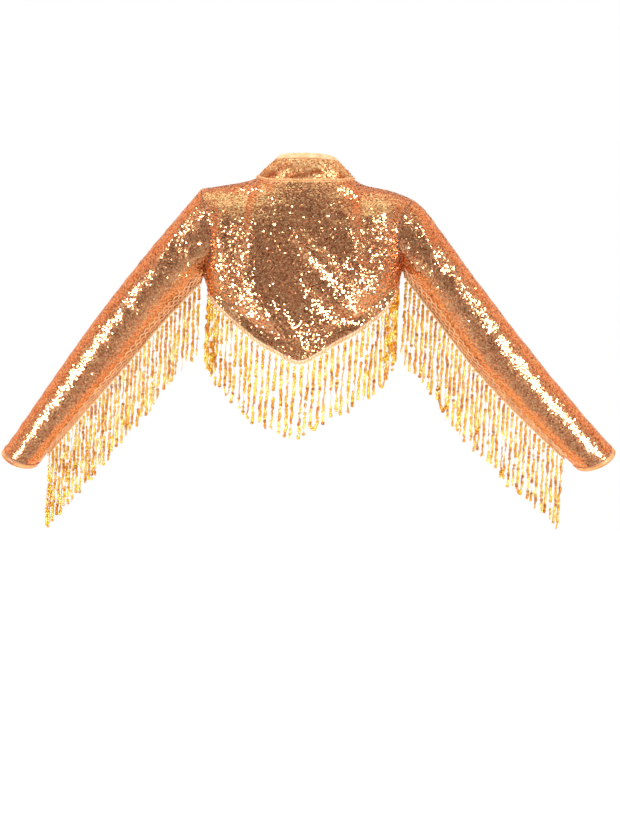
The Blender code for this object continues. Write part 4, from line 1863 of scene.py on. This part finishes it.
@dataclass(frozen=True)
class SleeveAssembly:
    """A sleeve with its sequins, its satin cuff hem and its fringe."""

    side: Side
    form: SleeveForm
    fringe: FringeRow
    cut: Cut
    rings: int = 150
    sides: int = 84
    wall: float = 0.0010
    # The rolled cuff hem: its grid, how far it stands out and which part of a half roll it is
    cuff_rings: int = 8
    cuff_sides: int = 72
    cuff_proud: float = 0.0004
    cuff_roll: float = 0.0011
    cuff_arc: Tuple[float, float] = (0.04, 0.90)
    cuff_wall: float = 0.0016
    # The station and the height of the cord at the cuff's very end, and a cord's half width
    cuff_end: Tuple[float, float] = (0.9985, 0.0002)
    edge_cord: float = 0.0010
    header_rings: int = 24
    # The threads along the under seam: their turns from it, and their waves along the sleeve
    under_turns: Tuple[float, ...] = (0.22, 0.40, 0.55)
    under_from: float = 0.02
    under_steps: int = 150
    under_wave: float = 0.045
    under_rate: float = 210.0
    under_shift: float = 2.1
    under_proud: float = 0.0014
    # The stitches along the armhole: the stretch of the half turn that they take
    seam_span: Tuple[float, float] = (0.10, 0.93)
    seam_steps: int = 40
    seam_cord: float = 0.0012
    seam_proud: float = 0.0025
    stitch: float = 0.0042
    stitch_gap: float = 0.0030
    calm: float = 0.50

    @property
    def node(self) -> str:
        """Return the name of the sleeve's node."""
        return f"sleeve_{self.side.name.lower()}"

    @property
    def cuff_node(self) -> str:
        """Return the name of the cuff's node."""
        return f"cuff_{self.side.name.lower()}"

    def header(self) -> Line:
        """Find the fringe's header line, just under the sleeve's under seam.

        Returns:
            The function that finds places on it.
        """
        stations = np.linspace(0.0, SLEEVE_END, self.header_rings + 1)
        under = np.array([self.form.ring(t, np.array((np.pi,)))[0] for t in stations])
        return line_through(under - (0.0, 0.0, HEADER_GAP))

    def cuff(self, finish: Material) -> Object:
        """Return the rolled satin hem at the sleeve's end.

        Args:
            finish: Its material.

        Returns:
            The piece.
        """
        start = SLEEVE_END + SEAM_GAP / SLEEVE_END_RATE
        surface = self.form.surface(start, 1.0, self.cuff_rings, self.cuff_sides)
        roll = np.sin(np.pi * np.linspace(*self.cuff_arc, self.cuff_rings + 1))
        heights = self.cuff_proud + self.cuff_roll * roll
        surface.lift(np.repeat(heights[:, None], self.cuff_sides + 1, axis=1))
        node = self.cuff_node
        piece = shell(f"{node}_hem", surface, self.cuff_wall, (finish,), node)
        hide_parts(node)
        return piece

    def cuff_edges(self, finish: Material) -> Object:
        """Return the corded edges of the cuff hem.

        Args:
            finish: Their material.

        Returns:
            The piece.
        """
        turns = np.linspace(0.0, 2.0 * np.pi, self.cuff_sides + 1)
        start = SLEEVE_END + SEAM_GAP / SLEEVE_END_RATE
        lines = []
        for t, proud in ((start, self.cuff_proud), self.cuff_end):
            ring = self.form.ring(t, turns)
            lines.append(ring + unit(ring - self.form.centre(t)) * (proud + self.edge_cord))
        size = (self.edge_cord, self.edge_cord)
        return cords(f"{self.cuff_node}_edges", lines, size, finish, self.cuff_node, 6)

    def under_cords(self, finish: Material) -> Object:
        """Return the wavy threads that run along the sleeve's under seam, on both faces.

        Args:
            finish: Their material.

        Returns:
            The piece.
        """
        last = self.fringe.span[1] * SLEEVE_END
        lines = []
        for facing in (-1.0, 1.0):
            for k, turn in enumerate(self.under_turns):
                points = []
                for t in np.linspace(self.under_from, last, self.under_steps):
                    phase = t * self.under_rate + self.under_shift * k + facing
                    wave = self.under_wave * math.sin(phase)
                    ring = self.form.ring(t, np.array((facing * (np.pi - turn - wave),)))[0]
                    middle = self.form.centre(t)
                    points.append(ring + unit(ring - middle) * self.under_proud)
                lines.append(np.array(points))
        size = (self.edge_cord, self.edge_cord)
        return cords(f"{self.node}_under_cords", lines, size, finish, self.node, 5)

    def armhole_stitches(self, finish: Material) -> Object:
        """Return the stitches that show along the armhole seam.

        Args:
            finish: Their material.

        Returns:
            The piece.
        """
        turns = np.linspace(*self.seam_span, self.seam_steps) * np.pi
        runs = []
        for facing in (-1.0, 1.0):
            seam = self.form.ring(0.0, facing * turns)
            seam = seam + (0.0, facing * self.seam_proud, 0.0)
            runs.extend(stitches(seam, self.stitch, self.stitch_gap))
        size = (self.seam_cord, self.seam_cord)
        return cords(f"{self.node}_armhole_stitches", runs, size, finish, self.node, 5)

    def build(self, lay: SequinLay, finishes: Finishes, seed: int) -> None:
        """Build and dress the sleeve.

        Args:
            lay: How the sequins lie.
            finishes: The materials.
            seed: The seed of the sequins' small differences.
        """
        node = self.node
        surface = self.form.surface(0.0, SLEEVE_END, self.rings, self.sides)
        cloth = shell(f"{node}_cloth", surface, self.wall, (finishes.knit, finishes.inner), node)
        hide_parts(node)
        calmer = replace(lay, calm=self.calm)
        sequins = calmer.cover(f"{node}_sequins", surface, finishes.foil, node, seed)
        cuff = self.cuff(finishes.satin)
        edges = self.cuff_edges(finishes.orange_thread)
        seam = self.armhole_stitches(finishes.dark_thread)
        under = self.under_cords(finishes.binding)
        fringe = self.fringe.build(self.header(), finishes)
        declare_sheet(cloth, surface, self.cut)


@dataclass(frozen=True)
class PanelAssembly:
    """A body panel: cloth, sequins and, on the back, the hem's fringe."""

    node: str
    cut: Cut
    wall: float = 0.0010
    tilt: float = 0.13
    turned_lines: Tuple[Fold, ...] = ()
    calm_lines: Tuple[Fold, ...] = ()

    def build(
        self,
        surface: ClothSurface,
        lay: SequinLay,
        finishes: Finishes,
        seed: int,
        trims: Sequence[Object] = (),
    ) -> None:
        """Build and dress the panel.

        Args:
            surface: Its outer face.
            lay: How the sequins lie.
            finishes: The materials.
            seed: The seed of the sequins' small differences.
            trims: Other pieces sewn to it; not used.
        """
        linings = (finishes.knit, finishes.inner)
        cloth = shell(f"{self.node}_cloth", surface, self.wall, linings, self.node)
        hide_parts(self.node)
        name = f"{self.node}_sequins"
        turned = replace(
            lay, tilt=self.tilt, turned_lines=self.turned_lines, calm_lines=self.calm_lines
        )
        sequins = turned.cover(name, surface, finishes.foil, self.node, seed)
        declare_sheet(cloth, surface, self.cut)


@dataclass(frozen=True)
class StandCollar:
    """The stand collar with its satin binding and the piped neck seam."""

    form: NeckForm
    cut: Cut
    columns: int = 150
    rows: int = 22
    wall: float = 0.0010
    # The binding: where it starts, how far it stands out and which part of a half roll it is
    binding_from: float = 0.80
    binding_proud: float = 0.0006
    binding_arc: Tuple[float, float] = (0.08, 0.75)
    binding_wall: float = 0.0024
    # The two cords of piping: how far round they run, and how they sag from place to place
    piping_turn: float = 88.0
    piping_steps: int = 161
    piping_height: float = 0.0021
    piping_depth: float = 0.0011
    piping_sag: float = 0.0005
    sag_rates: Tuple[float, float] = (0.31, 0.083)
    piping_proud: Tuple[float, float] = (0.0004, 0.0018)
    # The stitches between the cords
    stitch: float = 0.0034
    stitch_gap: float = 0.0016
    stitch_cord: float = 0.0008
    stitch_proud: float = 0.0006
    stitch_rise: float = 0.2

    def binding(self, surface: ClothSurface, finish: Material) -> Object:
        """Return the smooth strip that binds the collar's top edge.

        Args:
            surface: The collar's outer face.
            finish: Its material.

        Returns:
            The piece.
        """
        first = int(round(self.binding_from * self.rows))
        band = ClothSurface(surface.points[first:], surface.inside, False)
        rise = np.sin(np.pi * np.linspace(*self.binding_arc, len(band.points)))
        heights = self.binding_proud + self.binding_proud * rise
        band.lift(np.repeat(heights[:, None], self.columns + 1, axis=1))
        return shell("collar_binding", band, self.binding_wall, (finish,), "collar")

    def trims(self, finishes: Finishes) -> List[Object]:
        """Return the piping along the neck seam and the stitches on it.

        Args:
            finishes: The materials.

        Returns:
            The two pieces.
        """
        turns = np.linspace(-self.piping_turn, self.piping_turn, self.piping_steps)
        seam = np.array([self.form.base(turn) for turn in turns])
        away = unit(seam * (1.0, 1.0, 0.0) - (self.form.centre_x, self.form.centre_y, 0.0))
        waves = np.sin(turns * self.sag_rates[0]) * np.sin(turns * self.sag_rates[1] + 1.0)
        rise = (self.piping_height + waves * self.piping_sag)[:, None] * (0.0, 0.0, 1.0)
        upper = seam + away * self.piping_proud[0] + rise
        below = seam + away * self.piping_proud[1] - rise
        size = (self.piping_height, self.piping_depth)
        piping = cords("neck_piping", (upper, below), size, finishes.neck_tape, "collar")
        seam = seam + away * (self.piping_depth + self.stitch_proud)
        runs = stitches(seam + rise * self.stitch_rise, self.stitch, self.stitch_gap)
        size = (self.stitch_cord, self.stitch_cord)
        stitching = cords("neck_stitching", runs, size, finishes.orange_thread, "collar", 5)
        return [piping, stitching]

    def build(self, lay: SequinLay, finishes: Finishes, seed: int) -> None:
        """Build and dress the collar.

        Args:
            lay: How the sequins lie.
            finishes: The materials.
            seed: The seed of the sequins' small differences.
        """
        surface = self.form.collar(self.columns, self.rows)
        cloth = shell(
            "collar_cloth", surface, self.wall, (finishes.knit, finishes.inner), "collar"
        )
        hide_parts("collar")
        binding = self.binding(surface, finishes.binding)
        last = int(round(self.binding_from * self.rows)) + 1
        lower = ClothSurface(surface.points[:last], surface.inside, False)
        shaded = replace(lay, sag_and_painted_light_lines=COLLAR_SHADE_LINES, calm_lines=COLLAR_CALM_LINES)
        sequins = shaded.cover("collar_sequins", lower, finishes.collar_foil, "collar", seed)
        trims = [sequins, binding, *self.trims(finishes)]
        declare_sheet(cloth, surface, self.cut)


class Band(NamedTuple):
    """The parts of a direction along one axis between which the light rises to a level."""

    low: float
    high: float
    level: float


class SoftBox(NamedTuple):
    """A soft box: its middle, where it aims, its width and height, and its watts.

    A mirrored one shows only in reflections, and one that isn't lights only matt parts.
    """

    name: str
    place: Tuple[float, float, float]
    aim: Tuple[float, float, float]
    size: Tuple[float, float]
    power: float
    mirrored: bool = True


@dataclass(frozen=True)
class Studio:
    """A pale floor, a lit surround, soft boxes and the camera of the photograph."""

    camera_x: float = 0.00712
    camera_y: float = -2.8
    camera_z: float = -0.2314
    lens: float = 68.48
    shift_y: float = -0.1131
    sensor_mm: float = 36.0
    floor_z: float = -1.42
    floor_half: float = 6.0
    floor_glow: float = 0.60
    # The surround's light: dim on the camera's side, lit beside, behind, above and below the cloth
    dim: float = 0.31
    lit: float = 0.43
    overhead: float = 0.80
    beside: Band = Band(0.20, 0.68, 1.0)
    behind: Band = Band(-0.40, 0.20, 1.9)
    above: Band = Band(0.83, 0.99, 1.0)
    below: Band = Band(-0.15, -0.75, 0.27)
    # The strips make the streaks on the sleeves, the high ones the flashes on the shoulders
    boxes: Tuple[SoftBox, ...] = (
        SoftBox("strip left", (-2.35, -1.65, -0.45), (-0.35, 0.05, -0.25), (0.42, 1.8), 76.0),
        SoftBox("strip right", (2.35, -1.65, -0.45), (0.35, 0.05, -0.25), (0.42, 1.8), 76.0),
        SoftBox("high left", (-1.3, -1.6, 1.5), (0.0, 0.0, 0.0), (0.30, 0.30), 9.0),
        SoftBox("high right", (1.3, -1.6, 1.5), (0.0, 0.0, 0.0), (0.30, 0.30), 9.0),
        SoftBox("overhead", (0.0, -0.6, 1.9), (0.0, 0.0, -0.1), (2.0, 1.2), 36.0, False),
        SoftBox("front fill", (0.0, -3.2, 0.6), (0.0, 0.0, -0.3), (2.4, 1.6), 42.0, False),
    )

    def camera(self) -> None:
        """Set the camera at the photograph's viewing angle."""
        data = bpy.data.cameras.new("camera")
        data.lens = self.lens
        data.sensor_width = self.sensor_mm
        data.shift_y = self.shift_y
        camera = add_object("camera", data)
        camera.location = (self.camera_x, self.camera_y, self.camera_z)
        camera.rotation_euler = (math.radians(90.0), 0.0, 0.0)
        bpy.context.scene.camera = camera

    def light(self, box: SoftBox) -> None:
        """Add a soft box.

        Args:
            box: What it is and where it stands.
        """
        data = bpy.data.lights.new(box.name, "AREA")
        data.shape = "RECTANGLE"
        data.size, data.size_y = box.size
        data.energy = box.power
        lamp = add_object(box.name, data)
        direction = np.array(box.aim) - np.array(box.place)
        flat = math.hypot(direction[0], direction[1])
        pitch = math.atan2(flat, -direction[2])
        yaw = math.atan2(-direction[0], direction[1])
        lamp.location = box.place
        lamp.rotation_euler = (pitch, 0.0, yaw)
        lamp.visible_glossy = box.mirrored
        lamp.visible_diffuse = not box.mirrored

    def glow(
        self, tree: NodeTree, share: NodeSocket, band: Band, kind: str = "SMOOTHSTEP"
    ) -> NodeSocket:
        """Return how bright the surround is where a direction lies on a band.

        Args:
            tree: The world's node tree.
            share: The socket of the direction's part along the band's axis.
            band: The band.
            kind: How the light rises.

        Returns:
            The socket of the brightness.
        """
        inputs = {"Value": share, 1: band.low, 2: band.high, 3: 0.0, 4: band.level}
        rise = add_node(tree, "ShaderNodeMapRange", inputs, interpolation_type=kind)
        return rise.outputs["Result"]

    def world(self) -> None:
        """Set a white surround that is dimmer behind the camera, as a studio is."""
        world = bpy.data.worlds.new("studio")
        bpy.context.scene.world = world
        world.use_nodes = True
        tree = world.node_tree
        tree.nodes.clear()
        place = add_node(tree, "ShaderNodeTexCoord", {})
        split = add_node(tree, "ShaderNodeSeparateXYZ", {"Vector": place.outputs["Generated"]})
        beside = self.glow(tree, combine(tree, "ABSOLUTE", split.outputs["X"]), self.beside)
        behind = self.glow(tree, split.outputs["Y"], self.behind)
        around = combine(tree, "MAXIMUM", beside, behind)
        level = combine(tree, "MULTIPLY_ADD", around, self.lit, self.dim)
        above = self.glow(tree, split.outputs["Z"], self.above)
        below = self.glow(tree, split.outputs["Z"], self.below, "LINEAR")
        upper = combine(tree, "MULTIPLY_ADD", above, self.overhead, level)
        strength = combine(tree, "ADD", upper, below)
        # Warm white behind the garment, cool white straight above it
        stops = ((0.0, "#FFFFFF"), (1.0, "#FFD8BC"))
        tint = add_node(tree, "ShaderNodeValToRGB", {"Fac": behind}, stops)
        colour = blend(tree, above, tint.outputs["Color"], "#DEFFF2")
        inputs = {"Color": colour, "Strength": strength}
        room = add_node(tree, "ShaderNodeBackground", inputs)
        inputs = {"Color": (1.0, 1.0, 1.0, 1.0), "Strength": 1.0}
        white = add_node(tree, "ShaderNodeBackground", inputs)
        path = add_node(tree, "ShaderNodeLightPath", {})
        shares = (path.outputs["Is Camera Ray"], room.outputs[0], white.outputs[0])
        mixed = add_node(tree, "ShaderNodeMixShader", dict(enumerate(shares)))
        add_node(tree, "ShaderNodeOutputWorld", {"Surface": mixed.outputs["Shader"]})

    def floor(self) -> None:
        """Add the pale floor."""
        bm = bmesh.new()
        bmesh.ops.create_grid(bm, x_segments=2, y_segments=2, size=self.floor_half)
        for vert in bm.verts:
            vert.co.z = self.floor_z
        mesh = mesh_from(bm, "floor")
        # Matt and faintly glowing, so that hardly a shadow shows on the pale ground
        settings = {
            "Base Color": linear("#FAFAF8"),
            "Roughness": 0.9,
            "Emission Color": linear("#FFFFFF"),
            "Emission Strength": self.floor_glow,
        }
        mesh.materials.append(new_material("pale studio floor", settings))
        floor = add_object("floor", mesh)
        floor.visible_glossy = False

    def build(self) -> None:
        """Build the whole studio."""
        self.camera()
        self.world()
        self.floor()
        for box in self.boxes:
            self.light(box)


def hem_header(surface: ClothSurface) -> Line:
    """Find the header line just under the back hem, in the middle of the cloth.

    Args:
        surface: The back's outer face.

    Returns:
        The function that finds places on it.
    """
    hem = surface.points[-1]
    inside = unit(-hem * (1.0, 1.0, 0.0))
    return line_through(hem + inside * HALF_WALL - (0.0, 0.0, HEADER_GAP))


def main() -> None:
    """Build the garment's pieces in order, then the studio."""
    logging.basicConfig(level=logging.INFO, format="%(name)s: %(message)s")
    finishes = make_finishes()
    lay = SequinLay()
    neck = NeckForm()
    body = BodyForm(neck)
    back = body.back(*BACK_GRID)
    hem_fringe = FringeRow(
        "fringe_hem", strands=40, span=(0.045, 0.962), lengths=FRINGE_HEM, seed=3,
        joined=(6, 21, 33),
    )
    hem_trims = hem_fringe.build(hem_header(back), finishes)
    StandCollar(neck, Cut(0.36, 0.055, 0.0144)).build(lay, finishes, 11)
    back_panel = PanelAssembly(
        "back", Cut(0.46, 0.33, 0.112), turned_lines=TURNED_LINES, calm_lines=CALM_LINES
    )
    back_panel.build(back, lay, finishes, 12, hem_trims)
    front_left = PanelAssembly("front_left", Cut(0.16, 0.22, 0.0228))
    front_left.build(body.front(Side.LEFT, *FRONT_GRID), lay, finishes, 13)
    front_right = PanelAssembly("front_right", Cut(0.16, 0.22, 0.0214))
    front_right.build(body.front(Side.RIGHT, *FRONT_GRID), lay, finishes, 14)
    left_fringe = FringeRow(
        "fringe_sleeve_left", strands=37, span=(0.012, 0.945), lengths=FRINGE_LEFT, seed=5,
        joined=(14, 35),
    )
    left = SleeveAssembly(Side.LEFT, LEFT_SLEEVE, left_fringe, Cut(0.34, 0.62, 0.164))
    left.build(lay, finishes, 15)
    right_fringe = FringeRow(
        "fringe_sleeve_right", strands=37, span=(0.012, 0.945), lengths=FRINGE_RIGHT, seed=8,
        joined=(9, 27),
    )
    right = SleeveAssembly(Side.RIGHT, RIGHT_SLEEVE, right_fringe, Cut(0.34, 0.62, 0.168))
    right.build(lay, finishes, 16)
    Studio().build()
    view = bpy.context.scene.view_settings
    view.view_transform = "Standard"


if __name__ == "__main__":
    main()
